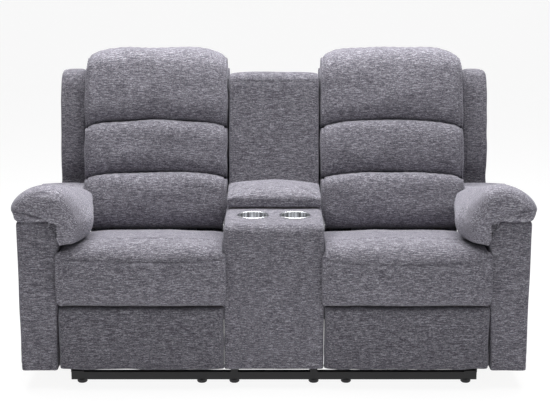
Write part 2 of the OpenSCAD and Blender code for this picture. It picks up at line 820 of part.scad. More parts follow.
// The section of an ear in front of the arm or the console, drawn in by k
function ear_section(k) =
    let (main = seat_section(1), b = -arm_front - 5.5, mid = [seat_front + 14, 385],
        back = [356, 364, 374, 388, 404, 422, 440, 456, 466])
    [for (i = [0:17])
        let (p = i < 9 ? [b, back[i]] : i == 17 ? [b, 349] : [min(main[i][0], b - 0.5), main[i][1]])
        mid + k * (p - mid)];

module seat_cushion() {
    x_of = function(s) seat_mid + s * (seat_out - seat_in) / 2;
    at = function(x, section) [for (p = section) [x, p[0], p[1]]];
    rings = concat(
        [at(seat_in - 11.5, ear_section(0.86)), at(seat_in - 8, ear_section(1)),
            at(seat_in - 0.6, ear_section(1))],
        [for (i = [0:12]) let (s = -cos(180 * i / 12)) at(x_of(s), seat_section(s))],
        [at(seat_out + 0.6, ear_section(1)), at(seat_out + 12, ear_section(1)),
            at(seat_out + 18, ear_section(0.86))]);
    color(fabric)
        skin(rings, [seat_in - 11.5, seat_front + 14, 385], [seat_out + 18, seat_front + 14, 385]);
}

// The drive: a slotted track with its gearbox and motor, pinned to the base
module actuator() {
    y0 = rear_y - 48;
    z = slide_z - 54;
    color(steel) translate([mech_x, 0, 0]) difference() {
        union() {
            along_y(drive_p[0] - 270, y0 + 1)
                polygon([[-20, z], [20, z], [20, z + 20], [6, z + 20], [6, z + 17], [17, z + 17],
                    [17, z + 3], [-17, z + 3], [-17, z + 17], [-6, z + 17], [-6, z + 20], [-20, z + 20]]);
            box([-21.7, y0, z - 6], [21.7, rear_y + 21, z + 40]);
            translate([0, y0 + 22, z - 92]) cylinder(h = 92, r = 21);
            translate([0, y0 + 22, z - 96]) cylinder(h = 5, r = 14);
        }
        rod_x([rear_y + tube_w / 2, slide_z - 36], 4 + pin_gap, -30, 30);
    }
}

// The block that the track drives, with an ear round the chassis's drive tube
module drive_slider() {
    z = slide_z - 54;
    color(plastic) translate([mech_x, drive_p[0], 0]) difference() {
        union() {
            box([-26, -22, z - 5], [26, 22, z + 27]);
            along_x(-13, 13) polygon([[-21, z + 20], [21, z + 20], [16, drive_p[1]], [-16, drive_p[1]]]);
            rod_x([0, drive_p[1]], drive_r + 6, -13, 13);
        }
        box([-20.3, -30, z - 0.3], [20.3, 30, z + 20.3]);
        rod_x([0, drive_p[1]], drive_r + 0.3, -20, 20);
    }
}

// Backs

module back_frame() {
    w = 25;
    x0 = seat_in + 6;
    rail_vs = [104, 346, frame_v - w];
    posts = [mech_x - post_in - w, mech_x + post_in];
    rear = frame_n + frame_t;
    color(steel) on_back() {
        difference() {
            union() {
                for (x = posts) box([x, frame_n, 60], [x + w, rear, frame_v]);
                for (v = rail_vs) box([x0, frame_n, v], [wing_in, rear, v + w]);
            }
            for (x = posts)
                box([x + 1.5, frame_n + 1.5, 50], [x + w - 1.5, rear - 1.5, frame_v + 9]);
            for (v = rail_vs)
                box([x0 - 9, frame_n + 1.5, v + 1.5], [wing_in + 9, rear - 1.5, v + w - 1.5]);
        }
        for (v = [170, 225, 280, 410, 465, 520])
            box([posts[0], frame_n - 2, v], [posts[1] + w, frame_n + 0.2, v + 30]);
        translate([mech_x, 0, 0]) for (m = [0, 1]) mirror([m, 0, 0]) {
            along_x(post_in + w - 0.5, post_in + w + link_t)
                polygon(concat(arc([0, 0], 15, 130, 330, 8),
                    [[rear, 64], [rear, 150], [frame_n, 150], [frame_n, 90]]));
            rod_x([0, 0], 6, post_in + w, mech_half + 1);
            rod_x([0, 0], 10, mech_half + 0.3, mech_half + 2.5);
        }
    }
}

// The rear limit of a back cushion: flat on the frame, and over its top edge
function pillow_limit(v) = v < frame_v + 25 ? pillow_n : frame_n + frame_t - 0.3;

module pillow(low, high, front, e, mid, pull) {
    c = [mid, (low + high) / 2];
    r = [mid - front, (high - low) / 2];
    m = 22;
    n = 10;
    half = (seat_out - seat_in) / 2;
    rings = [
        for (i = [0:n])
            let (s = -cos(180 * i / n), k = 1 - pull * pow(s, 6))
            [for (p = pad_ring(seat_mid + s * half, k, c, r, e, m))
                [p[0], min(p[1], pillow_limit(p[2])), p[2]]]
    ];
    color(fabric) on_back()
        skin(rings, [seat_in, mid, c[1]], [seat_out, mid, c[1]]);
}

module lower_pillow() { pillow(lower_v, middle_v - 1, -160, 3.2, -30, 0.12); }

module middle_pillow() { pillow(middle_v, head_v - 1, -134, 2.8, -20, 0.12); }

module head_pillow() { pillow(head_v, back_v, -128, 2.6, -8, 0.1); }

// The padded rear panel and the wing beside the cushions
module back_cover() {
    low = 62;
    wing = [[6, 184], [8, 262], [-24, 330], [-36, 450], [-36, 580], [-14, 656], [50, 686],
        [rear_n - 16, 668], [rear_n, 560], [rear_n, 420], [rear_n, 260], [rear_n - 8, 186], [70, 180]];
    loop = smooth_loop(wing, 2);
    n = 6;
    rings = [
        for (i = [0:n])
            let (s = -cos(180 * i / n), k = 1 - 0.06 * pow(s, 6))
            [for (j = [len(loop) - 1:-1:0]) let (p = loop[j])
                [wing_in + wing_w / 2 * (1 + s), 50 + k * (p[0] - 50), 430 + k * (p[1] - 430)]]
    ];
    color(fabric) on_back() {
        cushion(seat_in, wing_in, [(panel_n + rear_n) / 2, (low + panel_v) / 2],
            [(rear_n - panel_n) / 2, (panel_v - low) / 2], e = 9, pull = 0.02);
        skin(rings, [wing_in, 50, 430], [wing_in + wing_w, 50, 430]);
    }
}

// Links

// A round head on a pin at p, over the outer or inner side of a link
module pin_head(p, x) {
    rod_x(p, pin_r + 3.5, x, x + 1.4);
}

module lift_arms() {
    color(zinc) {
        both_hands() {
            along_x(lift_in, lift_in + link_t) bar(lift_p, lift_e, link_r);
            rod_x(lift_p, pin_r, lift_in + 1, mech_half + 1);
            rod_x(lift_p, pin_r + 4, mech_half + 0.3, mech_half + head_t);
            rod_x(lift_e, pin_r, ottoman_in - 1, lift_in + 1);
            pin_head(lift_e, ottoman_in - 1.7);
        }
        rod_x(torsion_p, torsion_r, mech_x - lift_in - 1, mech_x + lift_in + 1);
    }
}

module guide_arms() {
    color(zinc) both_hands() {
        along_x(guide_in, guide_in + link_t) bar(guide_p, guide_e, link_r - 1);
        rod_x(guide_p, pin_r, guide_in + 1, mech_half + 1);
        rod_x(guide_p, pin_r + 4, mech_half + 0.3, mech_half + head_t);
        rod_x(guide_e, pin_r, guide_in + 1, ottoman_in + link_t + 1);
        pin_head(guide_e, ottoman_in + link_t + 0.3);
        rod_x(stay_t, pin_r, stay_in - 1, guide_in + 1);
        pin_head(stay_t, stay_in - 1.7);
    }
}

module ottoman_links() {
    color(zinc) {
        both_hands() {
            difference() {
                along_x(ottoman_in, ottoman_in + link_t) {
                    bar(guide_e, foot_p, link_r + 1);
                    bar((lift_e + foot_p) / 2, brace_p, link_r);
                }
                for (p = [lift_e, guide_e]) rod_x(p, pin_r + pin_gap, ottoman_in - 1, plate_in);
            }
            rod_x(foot_p, pin_r, guide_in - 1, ottoman_in + 1);
            pin_head(foot_p, guide_in - 1.7);
        }
        rod_x(brace_p, brace_r, mech_x - ottoman_in - 1, mech_x + ottoman_in + 1);
    }
}

module stay_links() {
    color(zinc) both_hands() difference() {
        along_x(stay_in, stay_in + link_t) {
            bar(stay_t, stay_r, link_r - 1);
            translate(stay_r) circle(9);
            translate(stay_t) circle(link_r);
        }
        rod_x(stay_t, pin_r + pin_gap, stay_in - 1, stay_in + link_t + 1);
        rod_x(stay_r, stay_pin_r + stay_slack + pin_gap, stay_in - 1, stay_in + link_t + 1);
    }
}

// Footrests

module footrest_brackets() {
    y = -board_y;
    outline = concat([[y, 168]], arc(foot_p, 11, -60, 40, 5), arc(stay_r, 9, 20, 110, 4), [[y, 246]]);
    color(zinc) both_hands() {
        difference() {
            along_x(guide_in, guide_in + link_t) polygon(outline);
            rod_x(foot_p, pin_r + pin_gap, guide_in - 1, guide_in + link_t + 1);
        }
        box([guide_in, y, 160], [guide_in + 19, y + 3, 252]);
        rod_x(stay_r, stay_pin_r, stay_in - 1, guide_in + 1);
        rod_x(stay_r, stay_pin_r + 5, stay_in - 2, stay_in - 0.3);
    }
}

module footrest_board() {
    color(timber)
        along_y(-board_y - board_t, -board_y)
            polygon(concat(arc([seat_in + 18, foot_low + 24], 12, 180, 270, 4),
                arc([arm_in - 11, foot_low + 24], 12, 270, 360, 4),
                arc([arm_in - 11, foot_low + foot_h - 24], 12, 0, 90, 4),
                arc([seat_in + 18, foot_low + foot_h - 24], 12, 90, 180, 4)));
}

module footrest_pad() {
    back = -board_y - board_t - 0.3;
    color(fabric)
        cushion(seat_in + 1, arm_in + 8, [back - 12, foot_low + foot_h / 2], [foot_t - 12, foot_h / 2],
            e = 5, pull = 0.03, rear = back, m = 20);
}

base_frame();
slide_rails();
glides_and_end_caps();
rear_skirts();
arm_frames();
side("left") arm_cover();  // left_arm_cover
side("right") arm_cover();  // right_arm_cover
side("left") arm_pad();  // left_arm_pad
side("right") arm_pad();  // right_arm_pad
console_cover();
console_bin();
cup_holders();
console_back();
lid_hinge();
lid_board();
console_lid();
switch_plates();
power_inlet();
side("left") seat_chassis();  // left_seat_chassis
side("right") seat_chassis();  // right_seat_chassis
side("left") glide_blocks();  // left_glide_blocks
side("right") glide_blocks();  // right_glide_blocks
side("left") seat_frame();  // left_seat_frame
side("right") seat_frame();  // right_seat_frame
side("left") seat_springs();  // left_seat_springs
side("right") seat_springs();  // right_seat_springs
side("left") seat_cushion();  // left_seat_cushion
side("right") seat_cushion();  // right_seat_cushion
side("left") actuator();  // left_actuator
side("right") actuator();  // right_actuator
side("left") drive_slider();  // left_drive_slider
side("right") drive_slider();  // right_drive_slider
side("left") back_frame();  // left_back_frame
side("right") back_frame();  // right_back_frame
side("left") lower_pillow();  // left_lower_pillow
side("right") lower_pillow();  // right_lower_pillow
side("left") middle_pillow();  // left_middle_pillow
side("right") middle_pillow();  // right_middle_pillow
side("left") head_pillow();  // left_head_pillow
side("right") head_pillow();  // right_head_pillow
side("left") back_cover();  // left_back_cover
side("right") back_cover();  // right_back_cover
side("left") lift_arms();  // left_lift_arms
side("right") lift_arms();  // right_lift_arms
side("left") guide_arms();  // left_guide_arms
side("right") guide_arms();  // right_guide_arms
side("left") ottoman_links();  // left_ottoman_links
side("right") ottoman_links();  // right_ottoman_links
side("left") stay_links();  // left_stay_links
side("right") stay_links();  // right_stay_links
side("left") footrest_brackets();  // left_footrest_brackets
side("right") footrest_brackets();  // right_footrest_brackets
side("left") footrest_board();  // left_footrest_board
side("right") footrest_board();  // right_footrest_board
side("left") footrest_pad();  // left_footrest_pad
side("right") footrest_pad();  // right_footrest_pad
side("left") button(-0.5);  // left_recline_button
side("left") button(0.5);  // left_return_button
side("right") button(-0.5);  // right_recline_button
side("right") button(0.5);  // right_return_button
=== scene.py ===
"""A two-seat power recliner with a centre console, upholstered and lit for a studio picture.

Every size is in metres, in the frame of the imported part: X to the right, Y to the rear, Z up.
The covers are closed surfaces worked out with numpy, and the cushions are then blown up as cloth.
"""

import json
import logging
import math
from dataclasses import dataclass, field
from enum import Enum

import bpy
import numpy as np
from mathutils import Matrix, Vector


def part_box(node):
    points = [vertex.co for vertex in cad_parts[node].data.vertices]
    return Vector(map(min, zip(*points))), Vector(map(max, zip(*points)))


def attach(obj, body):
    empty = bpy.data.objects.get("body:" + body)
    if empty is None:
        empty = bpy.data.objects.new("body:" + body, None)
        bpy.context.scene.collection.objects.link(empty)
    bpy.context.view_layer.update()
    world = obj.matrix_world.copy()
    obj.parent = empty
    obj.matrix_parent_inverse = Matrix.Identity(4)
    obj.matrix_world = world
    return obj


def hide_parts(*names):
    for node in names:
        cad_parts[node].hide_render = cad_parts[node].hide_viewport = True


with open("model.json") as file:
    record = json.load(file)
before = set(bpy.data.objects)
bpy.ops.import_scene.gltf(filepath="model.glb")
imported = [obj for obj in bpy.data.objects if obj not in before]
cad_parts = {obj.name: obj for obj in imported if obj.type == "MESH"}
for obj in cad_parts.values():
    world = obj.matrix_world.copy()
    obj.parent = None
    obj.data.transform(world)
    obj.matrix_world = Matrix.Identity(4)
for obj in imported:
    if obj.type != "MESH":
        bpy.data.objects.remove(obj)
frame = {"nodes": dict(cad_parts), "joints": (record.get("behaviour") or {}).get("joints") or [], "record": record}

Array = np.ndarray
Colour = tuple[float, float, float]
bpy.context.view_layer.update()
log = logging.getLogger("recliner")


class Side(Enum):
    """The two halves of the sofa, as a sitter's picture shows them."""

    LEFT = "left"
    RIGHT = "right"

    @property
    def sign(self) -> int:
        """The sign of X on this side."""
        return -1 if self is Side.LEFT else 1

    def node(self, name: str) -> str:
        """The name of this side's node."""
        return f"{self.value}_{name}"

    def turn(self, points: Array) -> Array:
        """Points drawn for the right side, moved to this side, or back."""
        return points * np.array([self.sign, 1.0, 1.0])

    def read(self, piece: bpy.types.Object) -> tuple[Array, Array]:
        """The points and outward directions of this side's piece, as they would be on the right side."""
        return self.turn(read_points(piece)), self.turn(read_normals(piece))


# Surfaces


def smooth_loop(corners: Array, count: int) -> Array:
    """A closed curve through a loop of corners, with its points spaced evenly along it.

    Between two corners the curve is the cubic whose slope at a corner is half the step
    from the corner before to the corner after.

    Args:
        corners: The corners, one row each.
        count: How many points the curve gets.

    Returns:
        The points, one row each.
    """
    steps = 24
    t = (np.arange(steps) / steps)[None, :, None]
    a, b, c, d = (np.roll(corners, k, axis=0)[:, None, :] for k in (1, 0, -1, -2))
    dense = (b + t * (c - a) / 2 + t**2 * (a - 2.5 * b + 2 * c - 0.5 * d)
             + t**3 * (1.5 * b - 1.5 * c + 0.5 * d - 0.5 * a)).reshape(-1, corners.shape[1])
    return even_steps(np.vstack([dense, dense[:1]]), count + 1)[:-1]


def even_steps(points: Array, count: int) -> Array:
    """Points at equal distances along an open line, each found by its share of the length."""
    run = np.r_[0, np.cumsum(np.linalg.norm(np.diff(points, axis=0), axis=1))]
    at = np.linspace(0, run[-1], count)
    return np.stack([np.interp(at, run, column) for column in points.T], axis=1)


def square_up(c: Array, exponent: float) -> Array:
    """A cosine or sine drawn out towards a square: its sign times its size to the power 2/exponent."""
    return np.sign(c) * np.abs(c) ** (2 / exponent)


def ease(t: Array) -> Array:
    """A step from 0 to 1 with level ends, 3t^2 - 2t^3, for t held between 0 and 1."""
    t = np.clip(t, 0, 1)
    return t * t * (3 - 2 * t)


def folds(points: Array, seed: int, length: float, count: int = 9) -> Array:
    """Soft unevenness: a sum of sine waves in seeded directions, about 1 high.

    Args:
        points: The points where it is wanted, one row each.
        seed: The number that fixes the directions and phases.
        length: The typical wavelength.
        count: How many waves are added up.

    Returns:
        One height for each point.
    """
    rng = np.random.default_rng(seed)
    way = rng.normal(size=(count, 3))
    way /= np.linalg.norm(way, axis=1, keepdims=True)
    waves = 2 * np.pi / (length * rng.uniform(0.7, 1.5, count))
    phase = rng.uniform(0, 2 * np.pi, count)
    return np.sin(points @ (way * waves[:, None]).T + phase).sum(axis=1) / math.sqrt(count)


def build(name: str, rings: Array, caps: int = 5) -> bpy.types.Object:
    """A closed skin over rings of points, whose ends shrink in even steps to one point.

    Args:
        name: The name of the piece.
        rings: Points in three dimensions, ring by ring, all rings of one length.
        caps: How many smaller rings close each end.

    Returns:
        The piece, with its faces outwards and shaded smooth.
    """
    shares = np.linspace(1, 0, caps + 1)[1:, None, None]
    poles = [rings[0].mean(axis=0), rings[-1].mean(axis=0)]
    first = (poles[0] + shares * (rings[0] - poles[0]))[:-1][::-1]
    last = (poles[1] + shares * (rings[-1] - poles[1]))[:-1]
    stack = np.concatenate([first, rings, last])
    n, m = stack.shape[:2]
    points = np.vstack([stack.reshape(-1, 3), poles])
    i, j = np.meshgrid(np.arange(n - 1), np.arange(m), indexing="ij")
    a, b = i * m + j, i * m + (j + 1) % m
    quads = np.stack([a, b, b + m, a + m], axis=-1).reshape(-1, 4)
    k = np.arange(m)
    near = np.stack([np.full(m, n * m), (k + 1) % m, k], axis=1)
    far = np.stack([np.full(m, n * m + 1), (n - 1) * m + k, (n - 1) * m + (k + 1) % m], axis=1)
    return mesh_piece(name, points, quads, np.vstack([near, far]))


def mesh_piece(name: str, points: Array, quads: Array, tris: Array) -> bpy.types.Object:
    """A piece from arrays of points, four-sided faces and three-sided faces, faced outwards."""
    sizes = np.r_[np.full(len(quads), 4), np.full(len(tris), 3)]
    corners = np.concatenate([quads.ravel(), tris.ravel()]).astype(np.int32)
    mesh = bpy.data.meshes.new(name)
    mesh.vertices.add(len(points))
    mesh.vertices.foreach_set("co", points.astype(np.float32).ravel())
    mesh.loops.add(len(corners))
    mesh.loops.foreach_set("vertex_index", corners)
    mesh.polygons.add(len(sizes))
    mesh.polygons.foreach_set("loop_start", np.r_[0, np.cumsum(sizes)[:-1]].astype(np.int32))
    mesh.polygons.foreach_set("use_smooth", np.ones(len(sizes), bool))
    mesh.update(calc_edges=True)
    if volume(points, quads, tris) < 0:
        mesh.flip_normals()
    piece = bpy.data.objects.new(name, mesh)
    bpy.context.scene.collection.objects.link(piece)
    return piece


def volume(points: Array, quads: Array, tris: Array) -> float:
    """Six times the signed volume inside the faces: the sum of each triangle's triple product."""
    faces = np.vstack([tris, quads[:, [0, 1, 2]], quads[:, [0, 2, 3]]]).astype(int)
    a, b, c = (points[faces[:, k]] for k in range(3))
    return float(np.einsum("ij,ij->", a, np.cross(b, c)))


def read_points(piece: bpy.types.Object) -> Array:
    """The points of a piece's mesh, one row each."""
    flat = np.empty(len(piece.data.vertices) * 3, np.float32)
    piece.data.vertices.foreach_get("co", flat)
    return flat.reshape(-1, 3).astype(float)


def write_points(piece: bpy.types.Object, points: Array) -> None:
    """Puts points into a piece's mesh, in its own order."""
    piece.data.vertices.foreach_set("co", points.astype(np.float32).ravel())
    piece.data.update()


def read_normals(piece: bpy.types.Object) -> Array:
    """The outward direction at each point of a piece's mesh."""
    flat = np.empty(len(piece.data.vertices) * 3, np.float32)
    piece.data.vertex_normals.foreach_get("vector", flat)
    return flat.reshape(-1, 3).astype(float)


def raise_points(piece: bpy.types.Object, push: Array) -> None:
    """Moves each point of a piece's mesh outwards by its share of push."""
    write_points(piece, read_points(piece) + read_normals(piece) * push[:, None])


def settle(piece: bpy.types.Object) -> None:
    """Applies a piece's modifiers to its mesh."""
    graph = bpy.context.evaluated_depsgraph_get()
    mesh = bpy.data.meshes.new_from_object(piece.evaluated_get(graph))
    piece.modifiers.clear()
    piece.data = mesh
    mesh.polygons.foreach_set("use_smooth", np.ones(len(mesh.polygons), bool))


def refine(piece: bpy.types.Object) -> None:
    """Smooths a piece with one level of subdivision and applies it."""
    rounder = piece.modifiers.new("round", "SUBSURF")
    rounder.levels = rounder.render_levels = 1
    rounder.use_limit_surface = False
    settle(piece)


# Cloth


@dataclass(frozen=True)
class Filling:
    """How hard a cover is blown up by what fills it."""

    pressure: float = 4.0
    limit: float = 0.022
    frames: int = 20
    bend: float = 2.0

    def blow_up(self, piece: bpy.types.Object, held: Array) -> None:
        """Swells a cover as cloth under pressure, and moves no point by more than the limit.

        Args:
            piece: The cover, a closed mesh.
            held: One share for each point, 1 where the cover lies on something firm.
        """
        start = read_points(piece)
        group = piece.vertex_groups.new(name="held")
        for level in (0.25, 0.5, 0.75, 1.0):
            group.add(np.flatnonzero(held > level - 0.125).tolist(), level, "REPLACE")
        cloth = piece.modifiers.new("cloth", "CLOTH")
        rules = cloth.settings
        rules.quality = 5
        rules.mass = 0.3
        rules.tension_stiffness = rules.compression_stiffness = 15
        rules.shear_stiffness = 5
        rules.bending_stiffness = self.bend
        rules.use_pressure = True
        rules.uniform_pressure_force = self.pressure
        rules.vertex_group_mass = "held"
        rules.pin_stiffness = 1
        rules.effector_weights.gravity = 0
        cloth.collision_settings.use_collision = False
        cloth.collision_settings.use_self_collision = False
        cloth.point_cache.frame_start = 1
        cloth.point_cache.frame_end = self.frames
        scene = bpy.context.scene
        for number in range(1, self.frames + 1):
            scene.frame_set(number)
        graph = bpy.context.evaluated_depsgraph_get()
        shaped = piece.evaluated_get(graph).data
        flat = np.empty(len(shaped.vertices) * 3, np.float32)
        shaped.vertices.foreach_get("co", flat)
        piece.modifiers.remove(cloth)
        piece.vertex_groups.clear()
        scene.frame_set(1)
        move = flat.reshape(-1, 3) - start
        size = np.linalg.norm(move, axis=1, keepdims=True)
        write_points(piece, start + move * self.limit / np.maximum(self.limit, size))


# Finishes


class Wiring:
    """Places nodes in one tree and joins them."""

    def __init__(self, tree: bpy.types.NodeTree) -> None:
        """Takes the tree to work in."""
        self.tree = tree

    def add(self, kind: str, inputs: dict | None = None, **settings: object) -> bpy.types.Node:
        """Places a node, and gives each of its named inputs a value or another node's output.

        Args:
            kind: The node's type, without its ShaderNode prefix.
            inputs: Values or outputs by the name or number of the input.
            settings: The node's own settings.

        Returns:
            The node.
        """
        node = self.tree.nodes.new(kind if kind.startswith("Node") else "ShaderNode" + kind)
        for name, value in settings.items():
            setattr(node, name, value)
        for name, value in (inputs or {}).items():
            if isinstance(value, bpy.types.NodeSocket):
                self.tree.links.new(value, node.inputs[name])
            else:
                node.inputs[name].default_value = value
        return node

    def sum(self, operation: str, *values: object) -> bpy.types.NodeSocket:
        """The outcome of a Math node over numbers or outputs."""
        return self.add("Math", dict(enumerate(values)), operation=operation).outputs[0]

    def span(self, value: bpy.types.NodeSocket, low: float, high: float,
             start: float = 0.0, end: float = 1.0) -> bpy.types.NodeSocket:
        """A value between low and high, drawn out to run from start to end and held there."""
        inputs = {"Value": value, "From Min": low, "From Max": high, "To Min": start, "To Max": end}
        return self.add("MapRange", inputs).outputs["Result"]

    def noise(self, vector: bpy.types.NodeSocket, scale: float, detail: float = 2.0) -> bpy.types.NodeSocket:
        """The height of a noise texture, from 0 to 1."""
        inputs = {"Vector": vector, "Scale": scale, "Detail": detail, "Roughness": 0.6}
        return self.add("TexNoise", inputs).outputs["Fac"]

    def stretch(self, vector: bpy.types.NodeSocket, x: float, y: float, z: float) -> bpy.types.NodeSocket:
        """A place multiplied by three factors, which makes a pattern finer where a factor is larger."""
        inputs = {0: vector, 1: (x, y, z)}
        return self.add("VectorMath", inputs, operation="MULTIPLY").outputs[0]

    def blend(self, share: object, a: object, b: object) -> bpy.types.NodeSocket:
        """A colour that goes from a to b as the share goes from 0 to 1."""
        node = self.add("Mix", data_type="RGBA")
        for socket, value in zip((node.inputs[0], node.inputs[6], node.inputs[7]), (share, a, b)):
            if isinstance(value, bpy.types.NodeSocket):
                self.tree.links.new(value, socket)
            else:
                socket.default_value = value if isinstance(value, float) else (*value, 1.0)
        return node.outputs[2]


def new_group(name: str, inputs: dict[str, str], outputs: dict[str, str]) -> tuple[
        bpy.types.NodeTree, Wiring, bpy.types.Node, bpy.types.Node]:
    """An empty shader node group with named sockets.

    Args:
        name: The group's name.
        inputs: The kind of each input by its name: Float, Color or Vector.
        outputs: The same for the outputs.

    Returns:
        The group, its wiring, its input node and its output node.
    """
    tree = bpy.data.node_groups.new(name, "ShaderNodeTree")
    for sockets, way in ((inputs, "INPUT"), (outputs, "OUTPUT")):
        for label, kind in sockets.items():
            tree.interface.new_socket(label, in_out=way, socket_type="NodeSocket" + kind)
    wiring = Wiring(tree)
    return tree, wiring, wiring.add("NodeGroupInput"), wiring.add("NodeGroupOutput")


def make_slub_group() -> bpy.types.NodeTree:
    """The heathered cloth: short pale and dark slubs that lie across the piece.

    Two noises are drawn out sideways for the slubs, a third specks the yarn, and a fourth is the fine
    grain of the pile.
    Where the cloth faces sideways, the slubs run from front to rear instead.
    A broad noise shades the pile.
    """
    tree, w, a, z = new_group(
        "slub_cloth",
        {"Vector": "Vector", "Body": "Color", "Fleck": "Color", "Shadow": "Color", "Run": "Float"},
        {"Color": "Color", "Height": "Float", "Roughness": "Float"})
    place = a.outputs["Vector"]
    facing = w.add("SeparateXYZ", {0: w.add("NewGeometry").outputs["Normal"]}).outputs["X"]
    sideways = w.span(w.sum("ABSOLUTE", facing), 0.6, 0.85)
    across = w.stretch(place, 1.0, 3.6, 3.6)
    along = w.stretch(place, 3.6, 1.0, 3.6)
    lie = w.add("Mix", {0: sideways, 4: across, 5: along}, data_type="VECTOR").outputs[1]
    slub = w.noise(lie, 140.0, 3.0)
    streak = w.noise(w.stretch(lie, 0.30, 0.75, 0.75), 155.0, 1.0)
    speck = w.noise(w.stretch(lie, 0.55, 0.27, 0.27), 380.0, 1.0)
    grain = w.noise(w.stretch(place, 1.0, 1.3, 1.3), 620.0, 2.0)
    shade = w.noise(place, 13.0, 3.0)
    mixed = w.sum("ADD", w.sum("MULTIPLY", slub, 0.42), w.sum("MULTIPLY", streak, 0.6))
    mixed = w.sum("ADD", mixed, w.sum("MULTIPLY", w.sum("SUBTRACT", speck, 0.5), 0.5))
    mixed = w.sum("ADD", mixed, w.sum("MULTIPLY", w.sum("SUBTRACT", grain, 0.5), 0.45))
    flecked = w.span(mixed, 0.50, 0.76)
    dark = w.span(mixed, 0.49, 0.26)
    colour = w.blend(flecked, a.outputs["Body"], a.outputs["Fleck"])
    colour = w.blend(w.sum("MULTIPLY", dark, 0.85), colour, a.outputs["Shadow"])
    lift = w.span(shade, 0.3, 0.7, 0.94, 1.06)
    lifted = w.add("VectorMath", {0: colour, "Scale": w.sum("MULTIPLY", lift, a.outputs["Run"])},
                   operation="SCALE").outputs[0]
    height = w.sum("ADD", w.sum("MULTIPLY", mixed, 0.8), w.sum("MULTIPLY", grain, 0.3))
    rough = w.span(mixed, 0.3, 0.7, 0.98, 0.86)
    for name, value in (("Color", lifted), ("Height", height), ("Roughness", rough)):
        tree.links.new(value, z.inputs[name])
    return tree


def make_wear_group() -> bpy.types.NodeTree:
    """Handling marks: pale rubbed edges, found by bevelled normals, and a film of fine dust."""
    tree, w, a, z = new_group(
        "wear", {"Vector": "Vector", "Width": "Float", "Dust": "Float"},
        {"Edge": "Float", "Dust": "Float", "Height": "Float"})
    geometry = w.add("NewGeometry").outputs["Normal"]
    round_off = w.add("Bevel", {"Radius": a.outputs["Width"]}, samples=4).outputs["Normal"]
    turned = w.add("VectorMath", {0: geometry, 1: round_off}, operation="DOT_PRODUCT").outputs["Value"]
    patches = w.noise(a.outputs["Vector"], 60.0, 4.0)
    edge = w.sum("MULTIPLY", w.span(turned, 0.99, 0.86), w.span(patches, 0.42, 0.62))
    film = w.sum("MULTIPLY", w.noise(a.outputs["Vector"], 22.0, 5.0), a.outputs["Dust"])
    tree.links.new(edge, z.inputs["Edge"])
    tree.links.new(film, z.inputs["Dust"])
    tree.links.new(w.noise(a.outputs["Vector"], 900.0, 3.0), z.inputs["Height"])
    return tree


SLUB = make_slub_group()
WEAR = make_wear_group()


def new_material(name: str) -> tuple[bpy.types.Material, Wiring, bpy.types.Node, bpy.types.NodeSocket]:
    """An empty material with its wiring, its main shader and the Object coordinates."""
    material = bpy.data.materials.new(name)
    material.use_nodes = True
    w = Wiring(material.node_tree)
    shader = next(n for n in material.node_tree.nodes if n.type == "BSDF_PRINCIPLED")
    return material, w, shader, w.add("TexCoord").outputs["Object"]


@dataclass(frozen=True)
class Upholstery:
    """A soft, heathered cover cloth."""

    name: str = "heather_cloth"
    body: Colour = (0.172, 0.163, 0.192)
    fleck: Colour = (0.56, 0.55, 0.60)
    shadow: Colour = (0.030, 0.028, 0.040)
    # A factor on the cloth's colour; the darker and brighter copies in Finishes use it to paint shade and light.
    level: float = 1.0
    bump: float = 0.55

    def make(self) -> bpy.types.Material:
        """The cloth as a material."""
        material, w, shader, place = new_material(self.name)
        cloth = w.add("Group", node_tree=SLUB)
        for label, value in (("Body", self.body), ("Fleck", self.fleck), ("Shadow", self.shadow)):
            cloth.inputs[label].default_value = (*value, 1.0)
        cloth.inputs["Run"].default_value = self.level
        links = w.tree.links
        links.new(place, cloth.inputs["Vector"])
        relief = w.add("Bump", {"Height": cloth.outputs["Height"], "Strength": self.bump, "Distance": 0.0012})
        links.new(cloth.outputs["Color"], shader.inputs["Base Color"])
        links.new(cloth.outputs["Roughness"], shader.inputs["Roughness"])
        links.new(relief.outputs["Normal"], shader.inputs["Normal"])
        shader.inputs["Sheen Weight"].default_value = 0.25
        shader.inputs["Sheen Roughness"].default_value = 0.45
        shader.inputs["Sheen Tint"].default_value = (0.86, 0.86, 0.95, 1.0)
        shader.inputs["Specular IOR Level"].default_value = 0.15
        return material


@dataclass(frozen=True)
class HardFinish:
    """Paint, bare metal or moulded plastic with rubbed edges, dust and a fine surface."""

    name: str
    colour: Colour
    rubbed: Colour
    rough: float
    metal: float = 0.0
    edge: float = 0.0015
    dust: float = 0.25
    grain: float = 0.08
    coat: float = 0.0

    def make(self) -> bpy.types.Material:
        """The finish as a material."""
        material, w, shader, place = new_material(self.name)
        wear = w.add("Group", {"Vector": place, "Width": self.edge, "Dust": self.dust}, node_tree=WEAR)
        colour = w.blend(wear.outputs["Edge"], self.colour, self.rubbed)
        colour = w.blend(w.sum("MULTIPLY", wear.outputs["Dust"], 0.25), colour, (0.30, 0.29, 0.28))
        rough = w.sum("ADD", w.span(wear.outputs["Dust"], 0.0, 1.0, 0.0, 0.35), self.rough)
        relief = w.add("Bump", {"Height": wear.outputs["Height"], "Strength": self.grain, "Distance": 0.0006})
        links = w.tree.links
        links.new(colour, shader.inputs["Base Color"])
        links.new(rough, shader.inputs["Roughness"])
        links.new(relief.outputs["Normal"], shader.inputs["Normal"])
        shader.inputs["Metallic"].default_value = self.metal
        shader.inputs["Coat Weight"].default_value = self.coat
        shader.inputs["Coat Roughness"].default_value = 0.25
        return material


